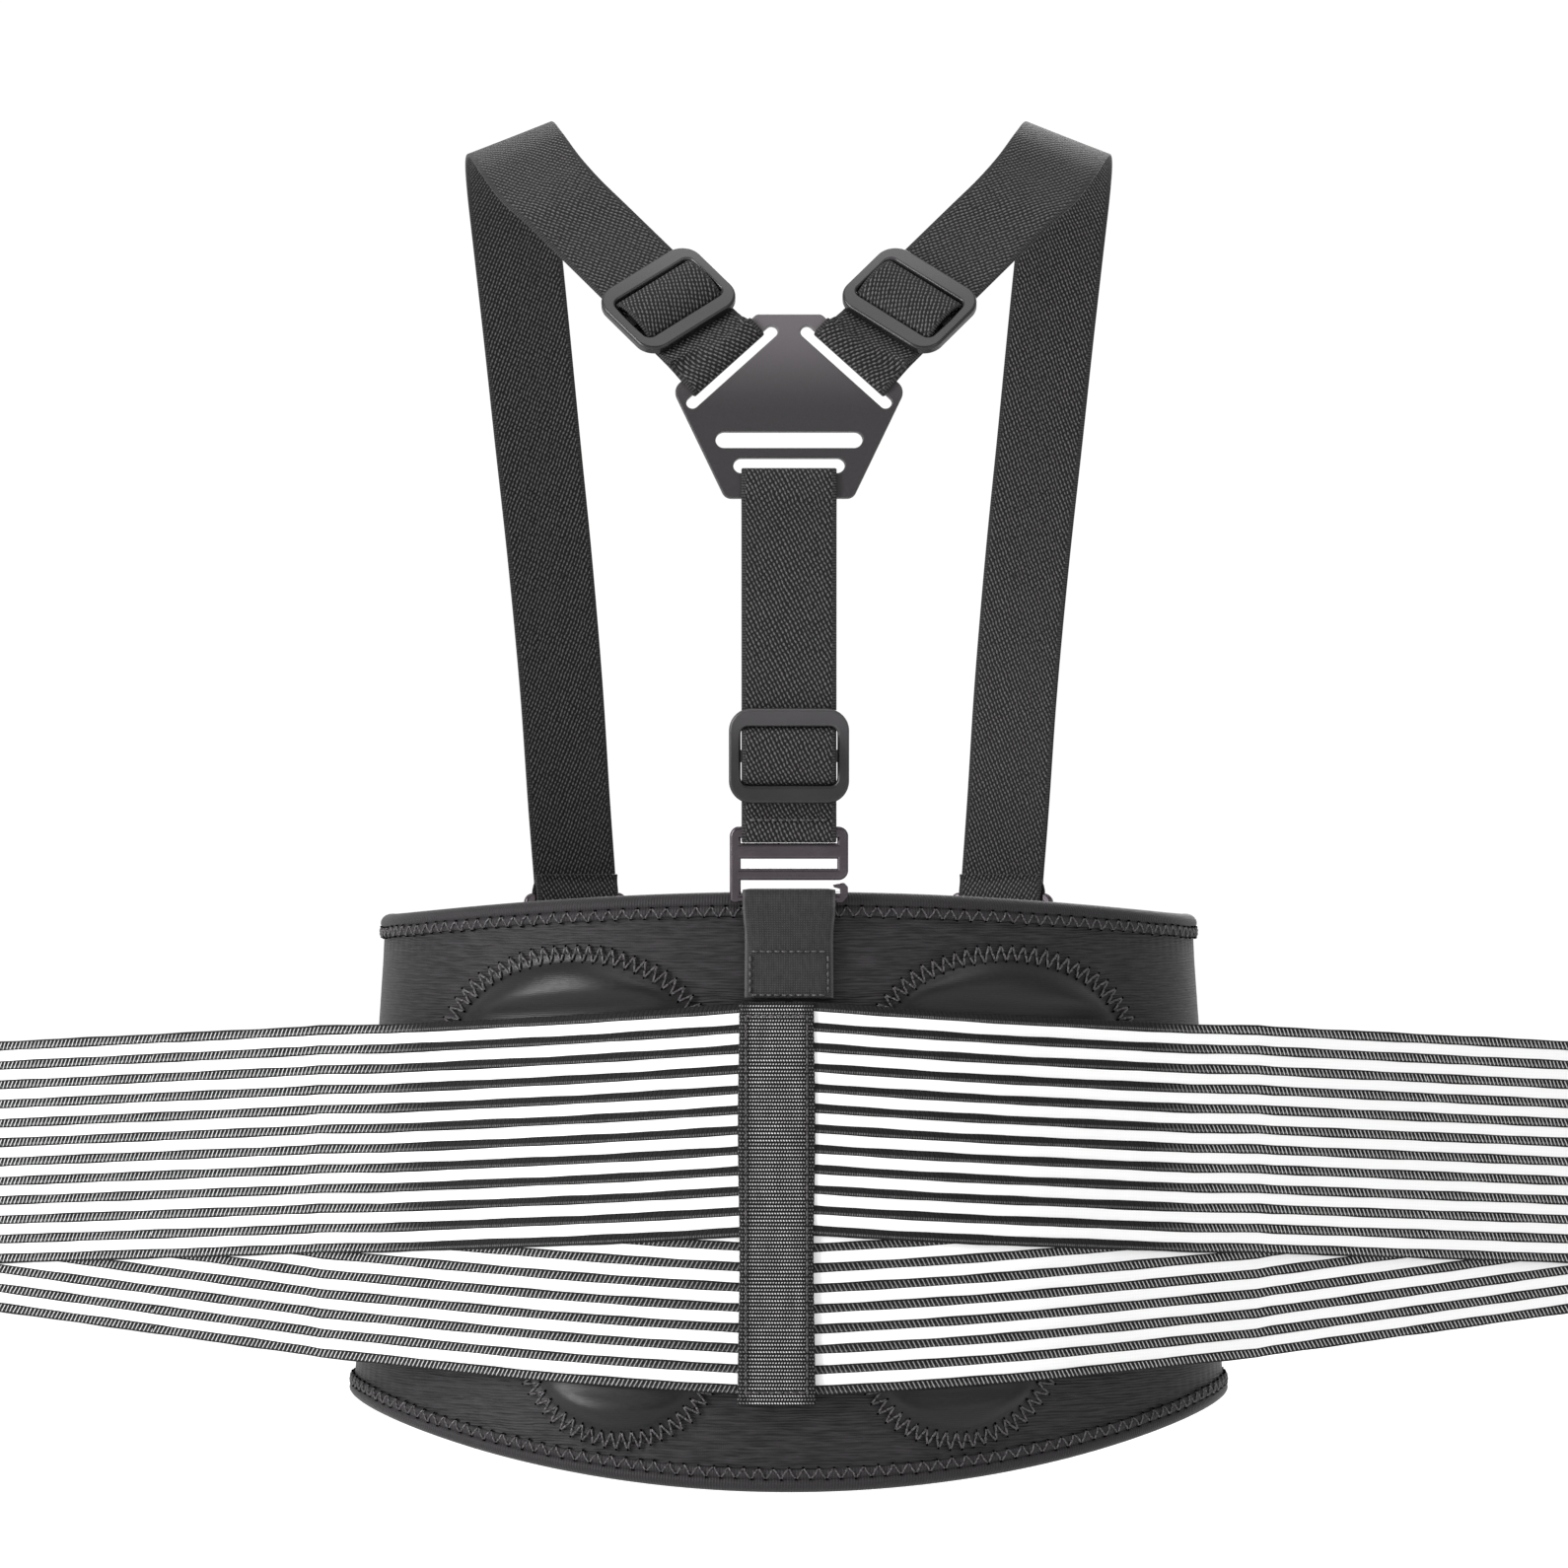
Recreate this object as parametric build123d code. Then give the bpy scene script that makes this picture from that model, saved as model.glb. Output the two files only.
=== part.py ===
from build123d import *
import os
from math import acos, asin, atan, atan2, cos, degrees, hypot, radians, sin, sqrt, tan

# Back brace: a lumbar belt with two crossing pairs of elastic pull bands and a
# Y-shaped shoulder harness, in the shape that it has on a wearer.
# Millimetres. +X is the wearer's right, +Y the wearer's front, +Z up.
# The origin is the centre of the waist opening, at the belt's middle height.

# --- Waist: nested elliptical cones that widen downwards -------------------
waist_half_width = 170.0        # inner face of the belt at middle height
waist_flare = 8.0 / 119.0       # half width gained per millimetre downwards
waist_flatness = 0.66           # depth over width
cone_reach = 135.0              # height of the working cones above and below the origin

# --- Layers of the belt, measured outwards from the waist ------------------
lining_layer = (0.0, 2.5)
stay_layer = (0.7, 1.9)
stay_channel = (0.5, 2.1)
panel_layer = (2.8, 6.0)
wing_layer = (1.5, 6.0)
binding_layer = (-1.2, 7.2)
binding_gap = 0.2
pad_layer = (6.3, 9.7)
loop_layer = (7.6, 10.0)
eye_layer = 11.2                # middle of the hook's bar, clear of the binding
lower_band_layer = (10.2, 11.2)
upper_band_layer = (11.5, 12.5)
strip_layer = (12.8, 13.8)
landing_layer = (6.3, 7.3)
flap_hook_layer = (7.6, 8.4)
flap_layer = (8.7, 11.7)

# --- Belt outline, seen from the back and from the front -------------------
top_side = (169.0, 107.5)       # x and z of the top edge at the wearer's side
bottom_side = (181.0, -91.2)
back_top, back_bottom = 118.6, -119.0
front_top, front_bottom = 78.0, -68.0
binding_width = 8.0
left_wing_end = -56.0           # x where the left wing stops, at the flap's fold
right_wing_end = -46.0          # x where the right wing stops, under the flap

# --- Pads, stays and the centre strip --------------------------------------
pad_top_x, pad_top_half, pad_shoulder_z, pad_top_z = 86.0, 58.0, 54.0, 98.5
pad_low_x, pad_low_half, pad_hip_z, pad_low_z = 68.0, 43.0, -62.0, -104.0
stay_places = {"outer_left_stay": -58.0, "inner_left_stay": -30.0,
               "inner_right_stay": 30.0, "outer_right_stay": 58.0}
stay_width, stay_height = 12.0, 180.0
strip_x, strip_width, strip_top, strip_bottom = -5.0, 30.0, 75.4, -84.5

# --- Elastic pull bands -----------------------------------------------------
pull_angle = 25.5               # direction of the pulled bands, forward of straight out
band_hinge_x = 192.0            # where the free part of the bands starts to swing
hinge_layer = 11.35             # layer that the swing axis runs through
hinge_gap = 2.2                 # half the gap at the band's swing axis
tab_gap = 3.0                   # gap between the tab's fold axis and the tab
band_start = 1.5                # the bands' sewn ends, under the strip
band_run = 158.4                # swing axis to tab fold, along the bands
band_knee_x = 165.0
upper_centre = (30.0, 18.6, 17.4, 8.0)      # z at the spine, knee, swing axis, tab
lower_centre = (-35.0, -26.7, -25.2, -12.0)
band_height = 92.0

# --- Pull tabs ---------------------------------------------------------------
tab_length, tab_height, tab_thickness = 114.0, 116.0, 4.0
tab_z = -2.0
tab_corner = 22.0
patch_length, patch_height, patch_thickness = 84.0, 88.0, 1.2
patch_start = 16.0
finger_loop_start, finger_loop_length = 40.0, 56.0
finger_loop_height, finger_loop_width, webbing = 19.0, 25.0, 1.6

# --- Closure flap -------------------------------------------------------------
flap_start, flap_end = -50.0, 62.0
flap_inset, flap_corner = 4.0, 18.0
landing_from, landing_to, landing_inset = -38.0, 74.0, 12.0
flap_hook_from, flap_hook_to = -14.0, 52.0

# --- Harness webbing, hooks, sliders and yoke ---------------------------------
strap_width, strap_thickness = 38.0, 1.6
loop_width = 37.0
loop_tail = 41.0                # belt loop, from the hook bar down to the last stitch
bar_radius = 2.0
eye_inner, eye_outer = 2.35, 3.55
hook_lean = 5.0                 # hooks and straps lean out from the wearer
back_hook_z = 117.5
front_hook_x, front_hook_z = 92.0, 87.0
hook_thickness, hook_inner, hook_leg = 3.4, 38.6, 4.4
hook_middle, hook_flat, hook_top = (7.1, 11.8), (15.7, 22.0), (24.0, 28.7)
hook_round, horn_round = 1.3, 0.6           # rounding of the hook's faces
hook_horn = [(18.6, -1.9), (21.4, -1.9), (23.6, 0.6), (23.6, 4.4), (21.9, 6.2), (17.5, 5.3),
             (18.0, 4.3), (20.3, 3.7), (20.5, 1.9), (18.6, 1.9)]
end_loop_thickness = 1.4
end_loop_gap = 0.3
strap_start = 31.5              # strap above the hook bar, clear of the hook's swing

slider_width, slider_height, slider_thickness = 48.0, 38.0, 3.6
slider_window = (38.6, 23.6)
slider_corner, slider_bar = 9.0, 5.0
slider_lift = 1.15              # slider above the middle of the strap it runs on
slider_rest = 57.2              # back slider above the hook bar

yoke_at = (0.0, -130.6, 290.0)  # middle of the lower slot, on the outer face
yoke_tilt = 12.0
yoke_thickness = 2.6
yoke_round = 0.6                # rounding of the outer face
yoke_top, yoke_shoulder, yoke_foot = (13.0, 62.5), (46.5, 31.5), (25.5, -13.3)
free_slot, free_slot_h = (58.6, 6.8), 10.6
strap_slot = (44.4, 6.3)
slant_slot = (48.0, 5.0)
slant_slot_at, slant_angle = (22.8, 40.6), 47.0
rim_outer = 9.43                # slanted slot's middle to the plate's edge
shoulder_tilt, shoulder_climb = 35.0, 51.2
straight_start, straight_length, shoulder_slider_rest = 6.0, 94.0, 23.0

# The right shoulder strap's middle line past its straight stretch, and the
# direction of its inner edge at each point.
over_shoulder = [((101.6, -63.0, 410.5), (-0.82, 0.22, 0.50)),
                 ((110.5, -43.0, 423.5), (-0.89, 0.08, 0.42)),
                 ((115.8, -16.0, 431.5), (-0.93, 0.0, 0.37)),
                 ((118.2, 13.0, 430.5), (-0.94, 0.0, 0.34)),
                 ((118.4, 41.0, 418.5), (-0.95, 0.05, 0.28)),
                 ((116.6, 65.0, 394.5), (-0.96, 0.12, 0.20)),
                 ((113.4, 83.0, 359.0), (-0.96, 0.20, 0.12)),
                 ((109.0, 95.5, 312.0), (-0.96, 0.26, 0.05)),
                 ((103.8, 102.5, 260.0), (-0.95, 0.30, 0.0)),
                 ((99.0, 104.6, 205.0), (-0.94, 0.34, 0.0)),
                 ((95.6, 103.6, 155.0), (-0.93, 0.37, 0.0))]


# ---------------------------------------------------------------------------
# Waist geometry
# ---------------------------------------------------------------------------
def girth(z, layer):
    """Half width and half depth of the ellipse at height z, a layer out from the waist."""
    half_width = waist_half_width - waist_flare * z
    return half_width + layer, waist_flatness * half_width + layer


def cone(layer):
    """Solid elliptical cone through one layer."""
    low = Pos(0, 0, -cone_reach) * Ellipse(*girth(-cone_reach, layer))
    high = Pos(0, 0, cone_reach) * Ellipse(*girth(cone_reach, layer))
    return loft([low.face(), high.face()], ruled=True)


def shell(layers):
    """Hollow cone between two layers."""
    return cone(layers[1]) - cone(layers[0])


def through_back(outline):
    """Outline in x and z, extruded over the back half of the waist."""
    return extrude(Plane.XZ * outline, amount=250)


def through_front(outline):
    """Outline in x and z, extruded over the front half of the waist."""
    return extrude(Plane.XZ * outline, amount=-250)


def belt_outline(middle_top, middle_bottom, inset):
    """The belt's edge curves, moved in from both edges, out past the wearer's sides."""
    reach = 230.0
    top = (top_side[0], top_side[1] - inset)
    low = (bottom_side[0], bottom_side[1] + inset)
    edges = [ThreePointArc((-top[0], top[1]), (0, middle_top - inset), top),
             Polyline(top, (reach, top[1]), (reach, low[1]), low),
             ThreePointArc(low, (0, middle_bottom + inset), (-low[0], low[1])),
             Polyline((-low[0], low[1]), (-reach, low[1]), (-reach, top[1]), (-top[0], top[1]))]
    return make_face(edges)


def back_region(inset):
    return through_back(belt_outline(back_top, back_bottom, inset))


def front_region(inset):
    return through_front(belt_outline(front_top, front_bottom, inset))


def between(x_from, x_to):
    """Slab between two x positions."""
    return Pos((x_from + x_to) / 2, 0, 0) * Box(x_to - x_from, 600, 900)


def mirrored(shape):
    return mirror(shape, about=Plane.YZ)


# ---------------------------------------------------------------------------
# Belt
# ---------------------------------------------------------------------------
def wing_regions(inset):
    """Front parts of the belt: the left and the right wing."""
    front = front_region(inset)
    return front & between(-230, left_wing_end), front & between(right_wing_end, 230)


def bindings():
    """Edge tape, folded over the belt's top edge and its bottom edge."""
    outer_regions = [back_region(-1.2), *wing_regions(-1.2)]
    inner_regions = [back_region(binding_width), *wing_regions(binding_width)]
    core_regions = [back_region(-binding_gap), *wing_regions(-binding_gap)]
    tape = shell(binding_layer)
    core = shell((-binding_gap, panel_layer[1] + binding_gap))
    rims = []
    for outer, inner, core_region in zip(outer_regions, inner_regions, core_regions):
        rims.append((tape & outer) - (tape & inner) - (core & core_region))
    rim = rims[0] + rims[1] + rims[2]
    above = rim & Pos(0, 0, 150) * Box(600, 600, 300)
    below = rim & Pos(0, 0, -150) * Box(600, 600, 300)
    return above, below


def stay(x, layers, spare):
    outline = Pos(x, 0) * Rectangle(stay_width + spare, stay_height + spare)
    return shell(layers) & through_back(outline)


def lining():
    """Soft inner layer of the back, with a closed channel round each stay."""
    body = shell(lining_layer) & back_region(0.5)
    for x in stay_places.values():
        body -= stay(x, stay_channel, 0.6)
    return body


def right_pad():
    """Tall egg-shaped lumbar pad, wide at the top."""
    top = EllipticalCenterArc((pad_top_x, pad_shoulder_z), pad_top_half, pad_top_z - pad_shoulder_z,
                              start_angle=0, arc_size=180)
    low = EllipticalCenterArc((pad_low_x, pad_hip_z), pad_low_half, pad_hip_z - pad_low_z,
                              start_angle=180, arc_size=180)
    outline = make_face([top, Line(top @ 1, low @ 0), low, Line(low @ 1, top @ 0)])
    return shell(pad_layer) & through_back(outline)


def centre_strip():
    middle = (strip_top + strip_bottom) / 2
    outline = Pos(strip_x, middle) * Rectangle(strip_width, strip_top - strip_bottom)
    return shell(strip_layer) & through_back(outline)


def landing_patch():
    region = front_region(landing_inset) & between(landing_from, landing_to)
    return shell(landing_layer) & region


def flap_outline(x_from, x_to, inset, corner):
    """Closure flap seen from the front, with round corners at its free end."""
    height = front_top - front_bottom - 2 * inset
    middle = (front_top + front_bottom) / 2
    outline = Pos((x_from + x_to) / 2, middle) * Rectangle(x_to - x_from, height)
    return fillet(outline.vertices().group_by(Axis.X)[-1], corner)


def closure_flap():
    return shell(flap_layer) & through_front(flap_outline(flap_start, flap_end, flap_inset, flap_corner))


def flap_hook_patch():
    outline = flap_outline(flap_hook_from, flap_hook_to, flap_inset + 8, 8)
    return shell(flap_hook_layer) & through_front(outline)


# ---------------------------------------------------------------------------
# Elastic bands and pull tabs
# ---------------------------------------------------------------------------
pull = (cos(radians(pull_angle)), sin(radians(pull_angle)))
outward = (sin(radians(pull_angle)), -cos(radians(pull_angle)))


def swing_point(layer):
    """Point of the bands' swing axis, in plan, shifted to a layer of the band stack."""
    half_width, half_depth = girth(0, hinge_layer)
    leave = atan(tan(radians(pull_angle)) * half_width / half_depth)
    leave_x = half_width * sin(leave)
    leave_y = -half_depth * cos(leave)
    run = (band_hinge_x - leave_x) / pull[0]
    offset = layer - hinge_layer
    return leave_x + run * pull[0] + offset * outward[0], leave_y + run * pull[1] + offset * outward[1]


def band_side(z, layer):
    """One face of a band in plan: round the waist, then straight on its tangent to the swing axis."""
    half_width, half_depth = girth(z, layer)
    hinge_x, hinge_y = swing_point(layer)
    across, along = hinge_x / half_width, -hinge_y / half_depth
    leave = degrees(atan2(across, along) - acos(1 / hypot(across, along)))
    start = degrees(asin(band_start / half_width))
    arc = EllipticalCenterArc((0, 0), half_width, half_depth, start_angle=start - 90,
                              arc_size=leave - start)
    end = (hinge_x - hinge_gap * pull[0], hinge_y - hinge_gap * pull[1])
    return arc, end


def band_section(z, layers):
    inner_arc, inner_end = band_side(z, layers[0])
    outer_arc, outer_end = band_side(z, layers[1])
    edges = [inner_arc, Line(inner_arc @ 1, inner_end), Line(inner_end, outer_end),
             Line(outer_end, outer_arc @ 1), outer_arc, Line(outer_arc @ 0, inner_arc @ 0)]
    return Pos(0, 0, z) * make_face(edges)


def right_inner_band(centre, layers):
    """Band from under the strip to the swing axis, with its sloping edges."""
    high = band_section(90, layers)
    low = band_section(-90, layers)
    wall = loft([low.face(), high.face()], ruled=True)
    half = band_height / 2
    places = [(0, centre[0]), (band_knee_x, centre[1]), (band_hinge_x + 6, centre[2])]
    upper_edge = [(x, z + half) for x, z in places]
    lower_edge = [(x, z - half) for x, z in reversed(places)]
    outline = make_face(Polyline(*upper_edge, *lower_edge, close=True))
    return wall & through_back(outline)


pull_plane = Plane(origin=(*swing_point(hinge_layer), 0), x_dir=(*pull, 0), z_dir=(*outward, 0))


def right_outer_band(centre, layers):
    """Free part of a band, from the swing axis to the tab's fold."""
    half = band_height / 2
    start, end = hinge_gap, band_run - hinge_gap
    outline = make_face(Polyline((start, centre[2] + half), (end, centre[3] + half),
                                 (end, centre[3] - half), (start, centre[2] - half), close=True))
    depth = layers[0] - hinge_layer
    return extrude(pull_plane.offset(depth) * outline, amount=layers[1] - layers[0])


def right_tab():
    start = band_run + tab_gap
    outline = Pos(start + tab_length / 2, tab_z) * Rectangle(tab_length, tab_height)
    outline = fillet(outline.vertices().group_by(Axis.X)[-1], tab_corner)
    return extrude(pull_plane.offset(-tab_thickness / 2) * outline, amount=tab_thickness)


def right_tab_patch():
    """Hook patch sewn to the tab's inner face."""
    middle = band_run + tab_gap + patch_start + patch_length / 2
    outline = Pos(middle, tab_z) * RectangleRounded(patch_length, patch_height, 8)
    return extrude(pull_plane.offset(-tab_thickness / 2 - patch_thickness - 0.1) * outline,
                   amount=patch_thickness)


def right_finger_loop():
    """Webbing loop on the tab's outer face, with room for a finger, and its two sewn ends."""
    start = band_run + tab_gap + finger_loop_start
    middle = start + finger_loop_length / 2
    base = tab_thickness / 2 + 0.1
    side_plane = Plane(origin=pull_plane.from_local_coords((0, tab_z, 0)),
                       x_dir=(*pull, 0), z_dir=(0, 0, 1))
    half = finger_loop_length / 2
    crown = base + finger_loop_height
    inner = crown - webbing
    foot = 12.0
    outer_curve = ThreePointArc((middle - half, -base - webbing), (middle, -crown),
                                (middle + half, -base - webbing))
    inner_curve = ThreePointArc((middle + half - 3, -base - webbing), (middle, -inner),
                                (middle - half + 3, -base - webbing))
    arch = make_face([outer_curve, Line(outer_curve @ 1, inner_curve @ 0), inner_curve,
                      Line(inner_curve @ 1, outer_curve @ 0)])
    feet = []
    for end in (-1, 1):
        feet.append(Pos(middle + end * half, -base - webbing / 2) * Rectangle(foot, webbing))
    section = arch + feet[0] + feet[1]
    return extrude(side_plane * section, amount=finger_loop_width / 2, both=True)


# ---------------------------------------------------------------------------
# Harness
# ---------------------------------------------------------------------------
def out_plane(point, facing):
    """Plane of a hook: its x runs along the hook's bar, its y up, its z away from the wearer."""
    lean = radians(hook_lean)
    turn = radians(facing)
    out = (sin(turn), cos(turn))
    normal = (out[0] * cos(lean), out[1] * cos(lean), -sin(lean))
    return Plane(origin=point, x_dir=(-out[1], out[0], 0), z_dir=normal)


def hook_place(x, z, side):
    """Middle of a hook's bar, and the way that the belt faces there; side is 1 at the front."""
    half_width, half_depth = girth(z, eye_layer)
    y = side * half_depth * sqrt(1 - (x / half_width) ** 2)
    facing = degrees(atan2(x / half_width ** 2, y / half_depth ** 2))
    return (x, y, z), facing


back_plane = out_plane(*hook_place(0, back_hook_z, -1))
front_plane = out_plane(*hook_place(front_hook_x, front_hook_z, 1))


def belt_loop(plane, region):
    """Doubled webbing sewn to the belt, with the eye that holds the hook's bar."""
    eye = Circle(eye_outer) - Circle(eye_inner)
    side = Plane(origin=plane.origin, x_dir=plane.z_dir, z_dir=plane.x_dir)
    ring = extrude(side * eye, amount=loop_width / 2, both=True)
    hole = extrude(side * Circle(eye_inner), amount=loop_width, both=True)
    return (shell(loop_layer) & region) + ring - hole


def back_loop():
    z = back_hook_z - loop_tail / 2 - 1
    return belt_loop(back_plane, through_back(Pos(0, z) * Rectangle(loop_width, loop_tail)))


def right_front_loop():
    place, facing = hook_place(front_hook_x, front_hook_z, 1)
    z = place[2] - loop_tail / 2 - 1
    seen_width = loop_width * cos(radians(facing))
    region = through_front(Pos(place[0], z) * Rectangle(seen_width, loop_tail))
    return belt_loop(front_plane, region)


def bar(x_from, x_to, heights):
    """One straight limb of a flat metal piece."""
    low, high = heights
    return Pos((x_from + x_to) / 2, (low + high) / 2) * Rectangle(x_to - x_from, high - low)


def soft_plate(outline, rounding):
    """Flat metal piece with both its faces rounded over at the edges."""
    plate = extrude(outline, amount=hook_thickness / 2, both=True)
    rims = plate.edges().group_by(Axis.Z)
    return fillet(rims[0] + rims[-1], rounding)


def hook(plane, open_side):
    """Flat hook: three cross bars on two legs, and a round lower bar that ends in a free horn."""
    inner = hook_inner / 2
    outer = inner + hook_leg
    frame = bar(-outer, outer, (hook_middle[0], hook_top[1]))
    frame = fillet(frame.vertices(), 4.0)
    frame -= bar(-inner, inner, (hook_middle[1], hook_flat[0]))
    frame -= bar(-inner, inner, (hook_flat[1], hook_top[0]))
    leg = bar(-outer, -inner, (-bar_radius, hook_top[1] - 4))
    leg = fillet(leg.vertices().group_by(Axis.Y)[0], 1.8)
    horn = make_face(Polyline(*hook_horn, close=True))
    horn = fillet(horn.vertices().sort_by(Axis.X)[-4:], 0.9)
    flat = soft_plate(frame + leg, hook_round) + soft_plate(horn, horn_round)
    side = Plane(origin=(0, 0, 0), x_dir=(0, 1, 0), z_dir=(1, 0, 0))
    rod = extrude(side * Circle(bar_radius - 0.1), amount=inner + 1, both=True)
    shape = flat + rod
    if open_side < 0:
        shape = mirror(shape, about=Plane.YZ)
    return plane * shape


def end_loop(plane):
    """The strap's sewn end, round the hook's top bar and through the slot under it."""
    low, high = hook_top
    inner = bar(-(hook_thickness / 2 + end_loop_gap), hook_thickness / 2 + end_loop_gap,
                (low - end_loop_gap, high + end_loop_gap))
    grow = end_loop_thickness
    outer = bar(-(hook_thickness / 2 + end_loop_gap + grow), hook_thickness / 2 + end_loop_gap + grow,
                (low - end_loop_gap - grow, high + end_loop_gap + grow))
    side = Plane(origin=(0, 0, 0), x_dir=(0, 0, 1), z_dir=(-1, 0, 0))
    ring = extrude(side * (outer - inner), amount=loop_width / 2, both=True)
    return plane * ring


def slider_frame(plane):
    """Three-bar slider, lying on the strap: the plane's z is away from the wearer."""
    outline = RectangleRounded(slider_width, slider_height, slider_corner)
    outline -= RectangleRounded(*slider_window, 3.0)
    frame = extrude(outline, amount=slider_thickness)
    frame = fillet(frame.edges().group_by(Axis.Z)[-1], 1.2)
    centre = Pos(0, 0, slider_thickness / 2) * Box(slider_window[0] + 2, slider_bar, 2.0)
    return plane * Pos(0, 0, slider_lift) * (frame + centre)


def slider_fold(plane):
    """Webbing that runs up through the slider, over its middle bar and down again."""
    half = slider_window[1] / 2 - 1.6
    outer = make_face([ThreePointArc((half, 0.1), (0, slider_thickness + 2.2), (-half, 0.1)),
                       Line((-half, 0.1), (half, 0.1))])
    inner = Pos(0, slider_thickness / 2) * Rectangle(slider_bar + 0.6, 2.6)
    side = Plane(origin=(0, 0, 0), x_dir=(0, 1, 0), z_dir=(1, 0, 0))
    fold = extrude(side * (outer - inner), amount=loop_width / 2, both=True)
    return plane * Pos(0, 0, slider_lift) * fold


def rim_loop(plane, rim_from, rim_to):
    """Webbing round one rim of the yoke plate: along the plane's y, about the plate's thickness."""
    gap, grow = 0.3, end_loop_thickness
    inner = bar(-yoke_thickness - gap, gap, (rim_from - gap, rim_to + gap))
    outer = bar(-yoke_thickness - gap - grow, gap + grow, (rim_from - gap - grow, rim_to + gap + grow))
    side = Plane(origin=(0, 0, 0), x_dir=(0, 0, 1), z_dir=(-1, 0, 0))
    return plane * extrude(side * (outer - inner), amount=strap_width / 2, both=True)


def ribbon(stations):
    """Webbing through a list of (point, direction, inner edge) stations."""
    faces = []
    for point, direction, edge in stations:
        run = Vector(*direction).normalized()
        across = Vector(*edge)
        across = (across - run * across.dot(run)).normalized()
        plane = Plane(origin=point, x_dir=across, z_dir=run)
        faces.append((plane * Rectangle(strap_width, strap_thickness)).face())
    return loft(faces, ruled=True)


tilt = radians(yoke_tilt)
yoke_plane = Plane(origin=yoke_at, x_dir=(1, 0, 0), z_dir=(0, -cos(tilt), sin(tilt)))
slant = radians(slant_angle)
right_slot_plane = Plane(origin=yoke_plane.from_local_coords((*slant_slot_at, 0)),
                         x_dir=yoke_plane.x_dir * sin(slant) - yoke_plane.y_dir * cos(slant),
                         z_dir=yoke_plane.z_dir)

climb, lean = radians(shoulder_climb), radians(shoulder_tilt)
strap_run = Vector(cos(climb), sin(climb) * sin(lean), sin(climb) * cos(lean))
strap_edge = Vector(-sin(climb), cos(climb) * sin(lean), cos(climb) * cos(lean))
rim_end = right_slot_plane.from_local_coords((0, rim_outer + 1.5, -yoke_thickness / 2))
straight_from = rim_end + strap_run * straight_start
shoulder_plane = Plane(origin=straight_from, x_dir=-strap_edge, z_dir=strap_edge.cross(strap_run) * -1)


def yoke_plate():
    """Hexagonal plate with two slanted slots, one free slot and the centre strap's slot."""
    half = [yoke_top, yoke_shoulder, yoke_foot]
    other = [(-x, y) for x, y in reversed(half)]
    outline = make_face(Polyline(*half, *other, close=True))
    outline = fillet(outline.vertices().group_by(Axis.Y)[-1], 2.5)
    outline = fillet(outline.vertices().group_by(Axis.Y)[0], 4.0)
    outline = fillet([outline.vertices().sort_by(Axis.X)[0], outline.vertices().sort_by(Axis.X)[-1]], 5.0)
    outline -= Pos(0, free_slot_h) * SlotOverall(*free_slot)
    outline -= SlotOverall(*strap_slot)
    for side in (-1, 1):
        place = Pos(side * slant_slot_at[0], slant_slot_at[1]) * Rot(0, 0, side * (slant_angle - 90))
        outline -= place * SlotOverall(*slant_slot)
    plate = extrude(outline, amount=-yoke_thickness)
    plate = fillet(plate.edges().group_by(Axis.Z)[-1], yoke_round)
    return yoke_plane * plate


def centre_strap():
    """From the hook's end loop up to the yoke's lower rim and round it."""
    rim_bottom = yoke_at[2] + (yoke_foot[1] - 1) * cos(tilt)
    top = (rim_bottom - back_hook_z) / cos(radians(hook_lean))
    run = Pos(0, (strap_start + top) / 2, 0) * Box(strap_width, top - strap_start, strap_thickness)
    foot_loop = rim_loop(yoke_plane, yoke_foot[1], -strap_slot[1] / 2 + 1.6)
    return back_plane * run + foot_loop


def right_shoulder_strap():
    """From the yoke's slanted slot, over the shoulder and down to the front hook."""
    slot_loop = rim_loop(right_slot_plane, slant_slot[1] / 2 - 1.6, rim_outer)
    edge_at_rim = -right_slot_plane.x_dir
    twist = ribbon([(rim_end, right_slot_plane.y_dir, edge_at_rim), (straight_from, strap_run, strap_edge)])
    straight_to = straight_from + strap_run * straight_length
    straight = ribbon([(straight_from, strap_run, strap_edge), (straight_to, strap_run, strap_edge)])
    foot = front_plane.from_local_coords((0, strap_start, 0))
    foot_run = front_plane.y_dir * -1
    foot_edge = front_plane.x_dir
    points = [straight_to] + [Vector(*point) for point, _ in over_shoulder] + [foot]
    stations = [(straight_to, strap_run, strap_edge)]
    for index, (_, edge) in enumerate(over_shoulder, start=1):
        stations.append((points[index], points[index + 1] - points[index - 1], edge))
    stations.append((foot, foot_run, foot_edge))
    return slot_loop + twist + straight + ribbon(stations)


def shoulder_slider_plane():
    origin = straight_from + strap_run * shoulder_slider_rest
    return Plane(origin=origin, x_dir=shoulder_plane.x_dir, z_dir=shoulder_plane.z_dir)


# ---------------------------------------------------------------------------
# Assembly
# ---------------------------------------------------------------------------
def pair(name, right_shape):
    return {"right_" + name: right_shape, "left_" + name: mirrored(right_shape)}


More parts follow.
